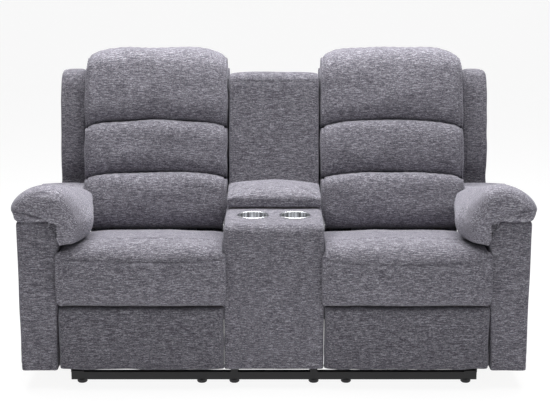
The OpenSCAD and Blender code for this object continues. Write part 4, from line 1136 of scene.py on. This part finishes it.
@dataclass
class Arm:
    """An arm: its covered box, which narrows downwards on the seat's side, and the pad over it."""

    side: Side
    taper: float = 0.020
    wall: float = 0.008
    top_round: float = 0.016
    corner: float = 0.011
    nose_depth: float = 0.052
    nose_inset: float = 0.032
    lobe_depth: float = 0.150
    crown: float = 1.12
    filling: Filling = field(default_factory=lambda: Filling(pressure=3.5, limit=0.010))

    def __post_init__(self) -> None:
        """Reads the arm's room from the frame."""
        self.low, self.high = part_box("right_arm_cover")
        self.pad_low, self.pad_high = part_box("right_arm_pad")

    def rear_of(self, z: Array) -> Array:
        """The arm's rear face at each height: straight runs between its four corners."""
        return np.interp(z, [self.low.z, 0.322, 0.412, self.high.z], [0.340, 0.335, 0.205, 0.205])

    def make_cover(self) -> bpy.types.Object:
        """The covered box: level rings, up the inside of the wall and down the outside, with a soft top."""
        turn = np.linspace(0, 1, 7)
        top = self.high.z
        rise = np.concatenate([np.linspace(self.low.z, 0.312, 17), np.linspace(0.322, 0.412, 9),
                               np.linspace(0.427, top - self.top_round, 11)])
        z = np.concatenate([rise, top - self.top_round + self.top_round * np.sin(turn * np.pi / 2)[1:]])
        inset = np.concatenate([np.zeros(len(rise)), self.top_round * (1 - np.cos(turn * np.pi / 2))[1:]])
        inner = self.low.x + self.taper * (1 - (z - self.low.z) / (top - self.low.z))
        outer = box_rings(inner + inset, self.high.x - inset, self.low.y + inset, self.rear_of(z) - inset, z,
                          self.corner + 0 * z, along=56)
        hollow_z = np.linspace(self.low.z, top - self.wall, 12)
        inner_z = self.low.x + self.taper * (1 - (hollow_z - self.low.z) / (top - self.low.z))
        w = self.wall
        hollow = box_rings(inner_z + w, self.high.x - w + 0 * hollow_z, self.low.y + w + 0 * hollow_z,
                           self.rear_of(hollow_z) - w, hollow_z, 0.004 + 0 * hollow_z, along=56)
        rings = np.concatenate([hollow[::-1], outer])
        piece = build(self.side.node("arm_cover"), self.side.turn(rings), caps=4)
        refine(piece)
        self.sew_cover(piece)
        return piece

    def sew_cover(self, piece: bpy.types.Object) -> None:
        """Adds the upright front seam, the hem and a slight slackness to the covered box."""
        points, way = self.side.read(piece)
        x, y, z = points.T
        seed = 100 + self.side.sign
        front = ease((-way[:, 1] - 0.5) / 0.3) * (y < self.low.y + 0.004)
        outside = (x > self.high.x - 0.004) | (y < self.low.y + 0.004) | (y > self.rear_of(z) - 0.004)
        bend = 0.0015 * np.sin(z * 14)
        seam = groove(x - (self.high.x - 0.0125 + bend), 0.0032) * front
        hem = groove(z - (self.low.z + 0.022), 0.003) * outside
        sway = folds(points, seed, 0.16) * outside
        pull = folds(points * [1, 1, 2.5], seed + 1, 0.07) * outside
        pull = pull * np.exp(-np.clip(z - self.low.z, 0, 1) / 0.05)
        push = -0.0022 * seam - 0.0012 * hem - 0.0008 * (1.2 + sway) + 0.0007 * pull
        points = points + way * push[:, None]
        points[:, 2] -= self.fall(y) * ease((z - 0.43) / 0.12)
        write_points(piece, self.side.turn(points))

    def pad_section(self) -> Array:
        """The corners of the pad's section in X and Z: a roll over the arm and a lobe towards the seat."""
        inner, outer, top = self.low.x, self.high.x, self.high.z
        crown, reach = self.pad_high.z - top, inner - self.pad_low.x
        rows = [(outer - 0.014, top + 0.0006), (outer + 0.0185, top + 0.027), (outer + 0.009, top + 0.052),
                (outer - 0.021, crown * 0.76 + top), (outer - 0.060, crown * 0.93 + top),
                (outer - 0.096, crown + top - 0.001), (inner - 0.018, crown * 0.84 + top),
                (inner - 0.066, top + 0.044), (inner - reach + 0.012, top + 0.012),
                (inner - reach, top - 0.014), (inner - reach + 0.010, top - 0.056),
                (inner - 0.074, top - 0.074), (inner - 0.042, top - 0.084), (inner - 0.010, top - 0.081),
                (inner - 0.003, top - 0.060), (inner - 0.001, top - 0.004), (inner + 0.014, top + 0.0006)]
        return np.array(rows)

    def thinning(self, y: Array) -> Array:
        """The share of its height that the pad has lost at each place along the arm."""
        return 0.95 * np.clip((y + 0.38) / 0.46, 0, 1)

    def fall(self, y: Array) -> Array:
        """How far the arm's top drops towards its rear end."""
        return 0.006 * np.clip((y + 0.08) / 0.26, 0, 1)

    def make_pad(self) -> bpy.types.Object:
        """The pad: a section carried along the arm, thinner and narrower to the rear, with a full round nose.

        At an angle t the nose lies a * (1 - cos t) behind the front, and its section is drawn in by
        b * (1 - sin t). The lobe's reach grows from the front as sqrt(1 - (1 - u)^2), where u is the share
        of its own depth. Behind the seat the lobe is drawn onto the arm.
        """
        inner, top = self.low.x, self.high.z
        start, end = self.pad_low.y + 0.004, self.pad_high.y - 0.001
        loop = smooth_loop(self.pad_section(), 86)
        along = np.roll(loop, -1, 0) - np.roll(loop, 1, 0)
        inward = np.stack([-along[:, 1], along[:, 0]], 1) / np.linalg.norm(along, axis=1, keepdims=True)
        free = np.maximum(ease((loop[:, 1] - top) / 0.03), ease((inner - 0.006 - loop[:, 0]) / 0.03))
        turn = np.linspace(0, np.pi / 2, 12)
        y = np.concatenate([start + self.nose_depth * (1 - np.cos(turn)),
                            np.linspace(start + self.nose_depth + 0.008, end - 0.034, 74),
                            end - 0.026 * (1 - np.sin(turn[::2]))])
        inset = np.concatenate([self.nose_inset * (1 - np.sin(turn)), np.zeros(74),
                                0.003 * (1 - np.cos(turn[::2]))])
        loop = loop + (inward * free[:, None]) * inset[:, None, None]
        y = y[:, None]
        draw = 0.94 * ease((y + 0.008) / 0.038)
        ahead = 1 - np.clip((y - start) / self.lobe_depth, 0, 1)
        narrow = (0.30 + 0.70 * np.sqrt(1 - ahead**2)) * (1 - 0.52 * np.clip((y + 0.355) / 0.36, 0, 1))
        x = np.where(loop[..., 0] < inner, inner + (loop[..., 0] - inner) * narrow, loop[..., 0])
        x = x + draw * np.maximum(inner - 0.001 - x, 0)
        z = loop[..., 1] + draw * np.maximum(top + 0.0005 - loop[..., 1], 0)
        height = self.crown * (1 - self.thinning(y))
        z = np.where(z > top + 0.001, top + 0.0006 + (z - top - 0.0006) * height, z) - self.fall(y)
        rings = np.stack(np.broadcast_arrays(x, y, z), -1)
        piece = build(self.side.node("arm_pad"), self.side.turn(rings), caps=6)
        points = self.side.turn(read_points(piece))
        on_arm = (points[:, 2] < top + 0.003) & (points[:, 0] > inner - 0.004)
        self.filling.blow_up(piece, np.where(on_arm, 1.0, self.thinning(points[:, 1]) ** 2))
        refine(piece)
        self.sew_pad(piece)
        return piece

    def sew_pad(self, piece: bpy.types.Object) -> None:
        """Keeps the pad off the arm and the seat, and adds its front seam and the wrinkles beside it."""
        points, way = self.side.read(piece)
        x, y, z = points.T
        seed = 120 + self.side.sign
        inner, top = self.low.x, self.high.z
        free = np.clip(ease((z - top - 0.002) / 0.02) + ease((inner - 0.006 - x) / 0.02), 0, 1)
        run = y - self.pad_low.y
        front_seam = groove(run - 0.012, 0.005) * free
        fan = np.sin(np.arctan2(z - top - 0.01, x - inner - 0.03) * 26 + 2.2 * folds(points, seed, 0.08))
        gather = (np.abs(fan) - 0.6) * np.exp(-np.clip(run - 0.016, 0, 1) / 0.028) * ease(run / 0.016) * free
        strength = 0.0022 if self.side is Side.RIGHT else 0.0012
        under_roll = groove(z - top - 0.012, 0.016) * ease((x - self.high.x + 0.02) / 0.02)
        sway = folds(points * [1, 0.8, 1], seed + 1, 0.13)
        creases = folds(points * [1.4, 1.0, 1.4], seed + 2, 0.055) * np.exp(-run / 0.10)
        push = (-0.0012 * front_seam + strength * gather - 0.0015 * under_roll
                + (0.0019 * sway + 0.0010 * creases) * free)
        points = points + way * push[:, None]
        over = (points[:, 0] > inner - 0.0005) & (y > self.low.y - 0.001)
        points[:, 2] = np.where(over, np.maximum(points[:, 2], top + 0.0004 - self.fall(y)), points[:, 2])
        low, high = self.pad_low, self.pad_high
        points = np.clip(points, [low.x - 0.002, low.y - 0.003, low.z],
                         [high.x + 0.006, high.y, high.z + 0.014])
        write_points(piece, self.side.turn(points))

    def make(self, finishes: Finishes) -> list[str]:
        """Makes the cover and the pad.

        Args:
            finishes: The sofa's materials.

        Returns:
            The parts that its pieces stand for.
        """
        names = [self.side.node("arm_cover"), self.side.node("arm_pad")]
        upholster(self.make_cover(), "base", names[:1], finishes.painted_shade_panel_cloth)
        upholster(self.make_pad(), "base", names[1:], finishes.painted_light_pad_cloth)
        return names


@dataclass
class Console:
    """The console between the seats: covered box, storage lid, fixed back and two cup holders."""

    wall: float = 0.014
    edge: float = 0.018
    front_edge: float = 0.034
    cup_pitch: float = 0.140
    cup_y: float = -0.303
    cup_bore: float = 0.0482
    cup_depth: float = 0.065
    cup_flange: float = 0.0524
    lip: float = 0.0075
    filling: Filling = field(default_factory=lambda: Filling(pressure=3.0, limit=0.008))

    def __post_init__(self) -> None:
        """Reads the box from the frame."""
        self.low, self.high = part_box("console_cover")

    def rear_of(self, z: Array, inset: float = 0.0) -> Array:
        """The rear face at each height: upright, then leaning back with the seats' backs."""
        rear = self.high.y - 0.018
        return np.interp(z, [self.low.z, 0.200, self.high.z], [rear, rear, self.high.y]) - inset

    def make_cover(self) -> bpy.types.Object:
        """The covered box: level rings up the inside and the outside, then openings cut through."""
        turn = np.linspace(0, 1, 13)
        half, top = self.high.x, self.high.z
        rise = np.concatenate([np.linspace(self.low.z, 0.195, 10),
                               np.linspace(0.205, top - self.front_edge, 26)])
        z = np.concatenate([rise, top - self.front_edge * (1 - np.sin(turn * np.pi / 2))[1:]])
        inset, front = (r - np.sqrt(r**2 - np.clip(z - top + r, 0, r) ** 2)
                        for r in (self.edge, self.front_edge))
        outer = box_rings(-half + inset, half - inset, self.low.y + front, self.rear_of(z) - inset, z,
                          0.010 + 0 * z, across=26, along=64)
        w = self.wall
        hollow_z = np.linspace(self.low.z, top - w, 12)
        hollow = box_rings(w - half + 0 * hollow_z, half - w + 0 * hollow_z, self.low.y + w + 0 * hollow_z,
                           self.rear_of(hollow_z, w), hollow_z, 0.004 + 0 * hollow_z, across=26, along=64)
        piece = build("console_upholstery", np.concatenate([hollow[::-1], outer]), caps=8)
        refine(piece)
        self.sew_cover(piece)
        self.cut(piece)
        return piece

    def sew_cover(self, piece: bpy.types.Object) -> None:
        """Softens the front, and adds the seams along its upright edges and its hem."""
        points, way = read_points(piece), read_normals(piece)
        x, y, z = points.T
        half = self.high.x
        outside = (np.abs(x) > half - 0.004) | (y < self.low.y + 0.004) | (z > self.high.z - 0.004)
        front = ease((-way[:, 1] - 0.5) / 0.3) * (y < self.low.y + 0.004)
        seam = groove(half - np.abs(x) - 0.012, 0.003) * front * (z < self.high.z - 0.012)
        hem = groove(z - (self.low.z + 0.020), 0.003) * outside
        sway = folds(points * [1.3, 1, 0.8], 141, 0.14) * outside
        dimple = groove(np.hypot(np.abs(x) - self.cup_pitch / 2, y - self.cup_y) - 0.056, 0.012)
        on_top = (z > self.high.z - 0.004) * (y < -0.22)
        push = -0.0016 * seam - 0.0012 * hem - 0.0006 * (1 + sway) + 0.0018 * dimple * on_top
        write_points(piece, points + way * push[:, None])

    def cut(self, piece: bpy.types.Object) -> None:
        """Cuts the cup wells, the bin's mouth, the switches' housings and the inlet through the cover."""
        top = self.high.z
        bin_low, bin_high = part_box("console_bin")
        plate_low, plate_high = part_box("switch_plates")
        socket_low, socket_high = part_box("power_inlet")
        lip, slack = 0.008, 0.0004
        boxes = [((bin_low.x + lip - slack, bin_low.y + lip - slack, top - 0.03),
                  (bin_high.x - lip + slack, bin_high.y - lip + slack, top + 0.03)),
                 ((plate_low.x - 0.01, plate_low.y + 0.006 - slack, plate_low.z + 0.005 - slack),
                  (plate_high.x + 0.01, plate_high.y - 0.006 + slack, plate_high.z - 0.005 + slack)),
                 ((-0.0244, socket_low.y - 0.01, socket_low.z + 0.0056),
                  (0.0244, socket_high.y + 0.01, socket_high.z - 0.0056))]
        cutters = [self.block(a, b) for a, b in boxes]
        cutters += [self.drum(s * self.cup_pitch / 2) for s in (-1, 1)]
        for cutter in cutters:
            tool = piece.modifiers.new("cut", "BOOLEAN")
            tool.operation, tool.solver, tool.object = "DIFFERENCE", "EXACT", cutter
        settle(piece)
        for cutter in cutters:
            bpy.data.objects.remove(cutter)

    def block(self, a: tuple[float, float, float], b: tuple[float, float, float]) -> bpy.types.Object:
        """A plain cutter between two corners."""
        signs = np.array([[x, y, z] for z in (0, 1) for y in (0, 1) for x in (0, 1)])
        quads = np.array([[0, 2, 3, 1], [4, 5, 7, 6], [0, 1, 5, 4], [2, 6, 7, 3], [0, 4, 6, 2], [1, 3, 7, 5]])
        points = np.array(a) + signs * (np.array(b) - np.array(a))
        return mesh_piece("cutter", points, quads, np.empty((0, 3), int))

    def drum(self, x: float) -> bpy.types.Object:
        """A round cutter for a cup well at x: a circle carried upwards."""
        angle = np.linspace(0, 2 * np.pi, 64, endpoint=False)
        r = self.cup_bore + 0.0022
        circle = np.stack([x + r * np.cos(angle), self.cup_y + r * np.sin(angle)], 1)
        rings = np.stack([np.column_stack([circle, np.full(64, z)])
                          for z in (self.high.z - 0.03, self.high.z + 0.03)])
        return build("cutter", rings, caps=1)

    def make_lid(self, finish: bpy.types.Material) -> bpy.types.Object:
        """The lid's padding: a section with a full front roll, crowned across, blown up on its board."""
        low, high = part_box("console_lid")
        half = high.x - 0.001
        s, k = rounded_run(half, 0.030, 5.0, 64)
        y0, y1, z0, z1 = low.y + 0.001, high.y, low.z, high.z - 0.001
        corners = np.array([(y0 + self.lip, z0 - 0.008), (y0 + 0.004, z0 - 0.0105), (y0, z0 - 0.005),
                            (y0, z0 + 0.014), (y0 + 0.004, z0 + 0.029), (y0 + 0.020, z1 - 0.006),
                            (y0 + 0.050, z1 - 0.001), (y0 + 0.12, z1), (y1 - 0.06, z1 - 0.001),
                            (y1 - 0.022, z1 - 0.006), (y1 - 0.004, z0 + 0.030), (y1, z0 + 0.014),
                            (y1 - 0.006, z0 + 0.001), (y1 - 0.08, z0), (y0 + 0.08, z0), (y0 + self.lip, z0)])
        loop = smooth_loop(corners, 92)
        k = k[:, None]
        rise = loop[None, :, 1] - z0
        z = z0 + rise * np.where(rise > 0, 0.62 + 0.38 * k, 1.0)
        z = z - 0.006 * (s**2)[:, None] * ease((rise - 0.02) / 0.02)
        y_mid = (y0 + y1) / 2
        y = y_mid + (loop[None, :, 0] - y_mid) * (0.97 + 0.03 * k)
        x = np.broadcast_to((s * half)[:, None], y.shape)
        piece = build("lid_padding", np.stack([x, y, z], -1), caps=6)
        points = read_points(piece)
        self.filling.blow_up(piece, np.where(points[:, 2] < z0 + 0.003, 1.0, 0.0))
        refine(piece)
        points, way = read_points(piece), read_normals(piece)
        low_roll = groove(points[:, 2] - (z0 + 0.012), 0.003) * ease((0.5 - way[:, 2]) / 0.3)
        sway = folds(points, 151, 0.11)
        across = groove(np.abs(points[:, 0]) - (half - 0.016), 0.004) * ease((way[:, 2] - 0.2) / 0.4)
        push = (-0.0014 * low_roll * (points[:, 2] > z0 + 0.002) + 0.0011 * sway * (way[:, 2] > -0.5)
                - 0.0012 * across)
        points = points + way * push[:, None]
        points = np.clip(points, [-half, low.y - 0.002, z0 - 0.0112], [half, high.y, high.z + 0.004])
        write_points(piece, points)
        upholster(piece, "lid", ["console_lid"], finish)
        return piece

    def make_back(self) -> bpy.types.Object:
        """The fixed back: a leaning slab with a rounded top edge, carried across with soft side edges."""
        lean = Lean(*hinge_of(Side.RIGHT))
        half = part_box("console_back")[1].x + 0.0016
        front, rear, top_v = -0.102, 0.134, 0.657
        base_z = self.high.z + 0.0005
        foot = [(base_z - lean.hinge_z + n * math.sin(lean.angle)) / math.cos(lean.angle)
                for n in (front, rear)]
        r_front, r_rear = 0.044, 0.046
        up = np.linspace(0, 1, 40)
        arc = np.linspace(0, np.pi / 2, 12)
        outline = np.vstack([
            np.stack([front + 0 * up, foot[0] + up * (top_v - r_front - foot[0])], 1),
            np.stack([front + r_front * (1 - np.cos(arc)), top_v - r_front * (1 - np.sin(arc))], 1)[1:],
            np.stack([np.linspace(front + r_front, rear - r_rear, 20)[1:], np.full(19, top_v)], 1),
            np.stack([rear - r_rear * (1 - np.sin(arc)), top_v - r_rear * (1 - np.cos(arc))], 1)[1:],
            np.stack([rear + 0 * up, top_v - r_rear + up * (foot[1] - top_v + r_rear)], 1)[1:],
            np.stack([rear + np.linspace(0, 1, 22) * (front - rear),
                      foot[1] + np.linspace(0, 1, 22) * (foot[0] - foot[1])], 1)[1:-1]])
        s, k = rounded_run(half, 0.012, 3.0, 46)
        ring = draw_outline(outline, np.array([0.016, 0.43]), 0.012, k)
        x = np.broadcast_to((s * half)[:, None], ring.shape[:2])
        points = lean.place(x, ring[..., 0], ring[..., 1])
        points[..., 2] = np.maximum(points[..., 2], base_z)
        piece = build("console_back_padding", points, caps=14)
        refine(piece)
        points, way = read_points(piece), read_normals(piece)
        sway = folds(points, 161, 0.17)
        inset = half - np.abs(points[:, 0])
        _, n, v = lean.read(points)
        seam = groove(inset - 0.010, 0.003) * (n < front + 0.03)
        brow = groove(v - (top_v - r_front), 0.005) * (n < front + 0.03)
        push = -0.0007 * (1 + sway) - 0.0014 * seam - 0.0012 * brow
        points = points + way * push[:, None]
        points[:, 2] = np.maximum(points[:, 2], base_z)
        write_points(piece, points)
        return piece

    def make_cup_holders(self, finish: bpy.types.Material) -> list[bpy.types.Object]:
        """Two spun cups: a wall with a rolled flange, turned about each cup's axis."""
        top = self.high.z
        r, f, d = self.cup_bore, self.cup_flange, self.cup_depth
        arc = np.linspace(0, np.pi, 14)
        roll = np.stack([(r + f) / 2 - 0.0002 + (f - r) / 2 * -np.cos(arc),
                         top + 0.0020 + 0.0022 * np.sin(arc)], 1)
        inside = [(0.0, top - d + 0.002), (r - 0.012, top - d + 0.002), (r - 0.005, top - d + 0.003),
                  (r - 0.0012, top - d + 0.007), (r, top - d + 0.014), (r, top - 0.02), (r, top - 0.004)]
        outside = [(f, top + 0.0004), (r + 0.0022, top + 0.0004), (r + 0.0016, top - 0.004),
                   (r + 0.0016, top - d + 0.006), (r - 0.004, top - d), (0.0, top - d)]
        profile = np.vstack([inside, roll, outside])
        angle = np.linspace(0, 2 * np.pi, 96, endpoint=False)
        pieces = []
        for side in Side:
            x = side.sign * self.cup_pitch / 2
            rings = np.stack([x + profile[:, None, 0] * np.cos(angle),
                              self.cup_y + profile[:, None, 0] * np.sin(angle),
                              np.broadcast_to(profile[:, None, 1], (len(profile), 96))], -1)
            piece = build(f"{side.value}_cup", rings[1:-1], caps=1)
            piece.data.materials.append(finish)
            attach(piece, "base")
            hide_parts("cup_holders")
            pieces.append(piece)
        return pieces

    def make(self, finishes: Finishes) -> list[str]:
        """Makes the console's pieces.

        Args:
            finishes: The sofa's materials.

        Returns:
            The parts that its pieces stand for.
        """
        upholster(self.make_cover(), "base", ["console_cover"], finishes.painted_shade_panel_cloth)
        upholster(self.make_back(), "base", ["console_back"], finishes.shaded_cloth)
        self.make_lid(finishes.cloth)
        self.make_cup_holders(finishes.by_slot["cup_chrome"])
        return ["console_cover", "console_back", "console_lid", "cup_holders"]


@dataclass
class RearSkirt:
    """The covered board behind a seat: a thin squared-up oval section carried across."""

    side: Side

    def make(self, finish: bpy.types.Material) -> bpy.types.Object:
        """Makes one board.

        Args:
            finish: Its cloth.

        Returns:
            The piece.
        """
        low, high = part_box("rear_skirts")
        x0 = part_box("console_cover")[1].x + 0.0006
        x1, y0, y1, z0, z1 = high.x, low.y + 0.0002, high.y, low.z, high.z
        x, y, z = slab((x0, y0, z0), (x1, y1, z1), (3.0, 16.0), (50, 90), 0.01)
        piece = build(self.side.node("rear_skirt"), self.side.turn(np.stack([x, y, z], -1)), caps=3)
        refine(piece)
        points, way = read_points(piece), read_normals(piece)
        rim = np.minimum(np.minimum(np.abs(points[:, 0]) - x0, x1 - np.abs(points[:, 0])), z1 - points[:, 2])
        sway = folds(points, 171, 0.14)
        push = (-0.0014 * groove(rim - 0.014, 0.003) - 0.0005 * (1 + sway)) * (way[:, 1] > 0.3)
        write_points(piece, points + way * push[:, None])
        upholster(piece, "base", ["rear_skirts"], finish)
        return piece


# Studio


@dataclass
class Camera:
    """The picture's viewpoint: in front of the sofa's middle and looking a little down."""

    distance: float = 4.5381
    height: float = 1.5198
    pitch: float = math.radians(12.3)
    focal_pixels: float = 1300.0
    picture_width: float = 550.0
    shift_pixels: float = 1.0
    sensor: float = 36.0

    def place(self) -> bpy.types.Object:
        """Puts the camera in the scene and returns it."""
        data = bpy.data.cameras.new("camera")
        data.sensor_width = self.sensor
        data.lens = self.focal_pixels * self.sensor / self.picture_width
        data.shift_x = self.shift_pixels / self.picture_width
        data.clip_end = 60.0
        camera = bpy.data.objects.new("camera", data)
        camera.location = (0.0, -self.distance, self.height)
        camera.rotation_euler = (math.pi / 2 - self.pitch, 0.0, 0.0)
        bpy.context.scene.collection.objects.link(camera)
        bpy.context.scene.camera = camera
        return camera


@dataclass
class Studio:
    """A white sweep, a strong lamp overhead, a softer one before it, and two weak fills in front."""

    floor_half: float = 40.0
    wall_y: float = 9.0
    bend: float = 2.0
    wall_height: float = 9.0

    def sweep(self) -> bpy.types.Object:
        """The floor and the backdrop: one sheet with a quarter circle between them."""
        arc = np.linspace(0, np.pi / 2, 24)
        profile = np.vstack([
            [[-self.floor_half, 0.0]],
            np.stack([self.wall_y - self.bend + self.bend * np.sin(arc), self.bend * (1 - np.cos(arc))], 1),
            [[self.wall_y, self.wall_height]]])
        x = np.array([-self.floor_half, self.floor_half])
        n = len(profile)
        points = np.stack([np.tile(x, n), np.repeat(profile[:, 0], 2), np.repeat(profile[:, 1], 2)], 1)
        k = np.arange(n - 1) * 2
        quads = np.stack([k, k + 1, k + 3, k + 2], 1)
        mesh = bpy.data.meshes.new("sweep")
        mesh.from_pydata(points.tolist(), [], quads.tolist())
        mesh.polygons.foreach_set("use_smooth", np.ones(len(quads), bool))
        floor = bpy.data.objects.new("sweep", mesh)
        bpy.context.scene.collection.objects.link(floor)
        mesh.materials.append(self.paper())
        return floor

    def paper(self) -> bpy.types.Material:
        """White paper: it takes shadows, and shows nearly white to the camera and in reflections."""
        material, w, shader, place = new_material("white_paper")
        tone = w.span(w.noise(place, 1.5, 2.0), 0.3, 0.7, 0.86, 0.88)
        w.tree.links.new(w.add("CombineColor", {"Red": tone, "Green": tone, "Blue": tone}).outputs[0],
                         shader.inputs["Base Color"])
        shader.inputs["Roughness"].default_value = 0.9
        rays = w.add("LightPath")
        seen = w.sum("MAXIMUM", rays.outputs["Is Camera Ray"],
                     w.sum("MAXIMUM", rays.outputs["Is Glossy Ray"], rays.outputs["Is Transmission Ray"]))
        glow = w.add("Emission", {"Color": (1, 1, 1, 1), "Strength": 1.13})
        mix = w.add("MixShader", {0: w.sum("MULTIPLY", seen, 0.80), 1: shader.outputs[0], 2: glow.outputs[0]})
        out = next(n for n in w.tree.nodes if n.type == "OUTPUT_MATERIAL")
        w.tree.links.new(mix.outputs[0], out.inputs["Surface"])
        return material

    def lamp(self, name: str, place: tuple[float, float, float], aim: tuple[float, float, float],
             size: tuple[float, float], power: float, colour: Colour = (1.0, 1.0, 1.0)) -> None:
        """A soft rectangular lamp that faces a point.

        Args:
            name: Its name.
            place: Where it hangs.
            aim: The point that it faces.
            size: Its width and height.
            power: Its power in watts.
            colour: Its colour.
        """
        data = bpy.data.lights.new(name, "AREA")
        data.shape = "RECTANGLE"
        data.size, data.size_y = size
        data.energy = power
        data.color = colour
        lamp = bpy.data.objects.new(name, data)
        way = np.array(aim, float) - np.array(place, float)
        across, up = math.atan2(way[0], -way[1]), math.atan2(math.hypot(way[0], way[1]), -way[2])
        lamp.location = place
        lamp.rotation_euler = (up, 0.0, across + math.pi)
        bpy.context.scene.collection.objects.link(lamp)

    def world(self) -> None:
        """A pale even light from all round, which the camera sees as white."""
        world = bpy.data.worlds.new("studio")
        world.use_nodes = True
        bpy.context.scene.world = world
        w = Wiring(world.node_tree)
        back = next(n for n in w.tree.nodes if n.type == "BACKGROUND")
        rays = w.add("LightPath")
        seen = w.sum("MAXIMUM", rays.outputs["Is Camera Ray"],
                     w.sum("MAXIMUM", rays.outputs["Is Glossy Ray"], rays.outputs["Is Transmission Ray"]))
        w.tree.links.new(w.span(seen, 0.0, 1.0, 0.126, 1.0), back.inputs["Strength"])
        back.inputs["Color"].default_value = (0.97, 0.98, 1.0, 1.0)

    def make(self) -> None:
        """Lights the room."""
        self.sweep()
        self.world()
        self.lamp("overhead", (0.0, 0.5, 3.0), (0.0, 0.0, 0.5), (3.2, 1.2), 120.0)
        self.lamp("top", (0.0, -0.9, 3.4), (0.0, 0.0, 0.5), (3.2, 2.0), 54.0)
        self.lamp("front_left", (-2.6, -4.2, 2.2), (0.0, 0.0, 0.5), (1.6, 2.0), 5.0, (1.0, 0.98, 0.96))
        self.lamp("front_right", (2.6, -4.2, 2.2), (0.0, 0.0, 0.5), (1.6, 2.0), 19.0, (0.96, 0.98, 1.0))
        bpy.context.scene.view_settings.view_transform = "Standard"


def main() -> None:
    """Builds the sofa's soft pieces, dresses its parts and lights it."""
    logging.basicConfig(level=logging.INFO, format="%(name)s: %(message)s")
    Camera().place()
    finishes = Finishes()
    replaced: set[str] = set()
    for side in Side:
        replaced.update(BackRest(side).make(finishes))
        replaced.add(SeatCushion(side).make(finishes.cloth))
        replaced.add(FootrestPad(side).make(finishes.shaded_cloth))
        replaced.update(Arm(side).make(finishes))
        RearSkirt(side).make(finishes.painted_shade_panel_cloth)
    replaced.add("rear_skirts")
    replaced.update(Console().make(finishes))
    finishes.dress_nodes(replaced)
    Studio().make()
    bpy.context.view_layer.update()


if __name__ == "__main__":
    main()
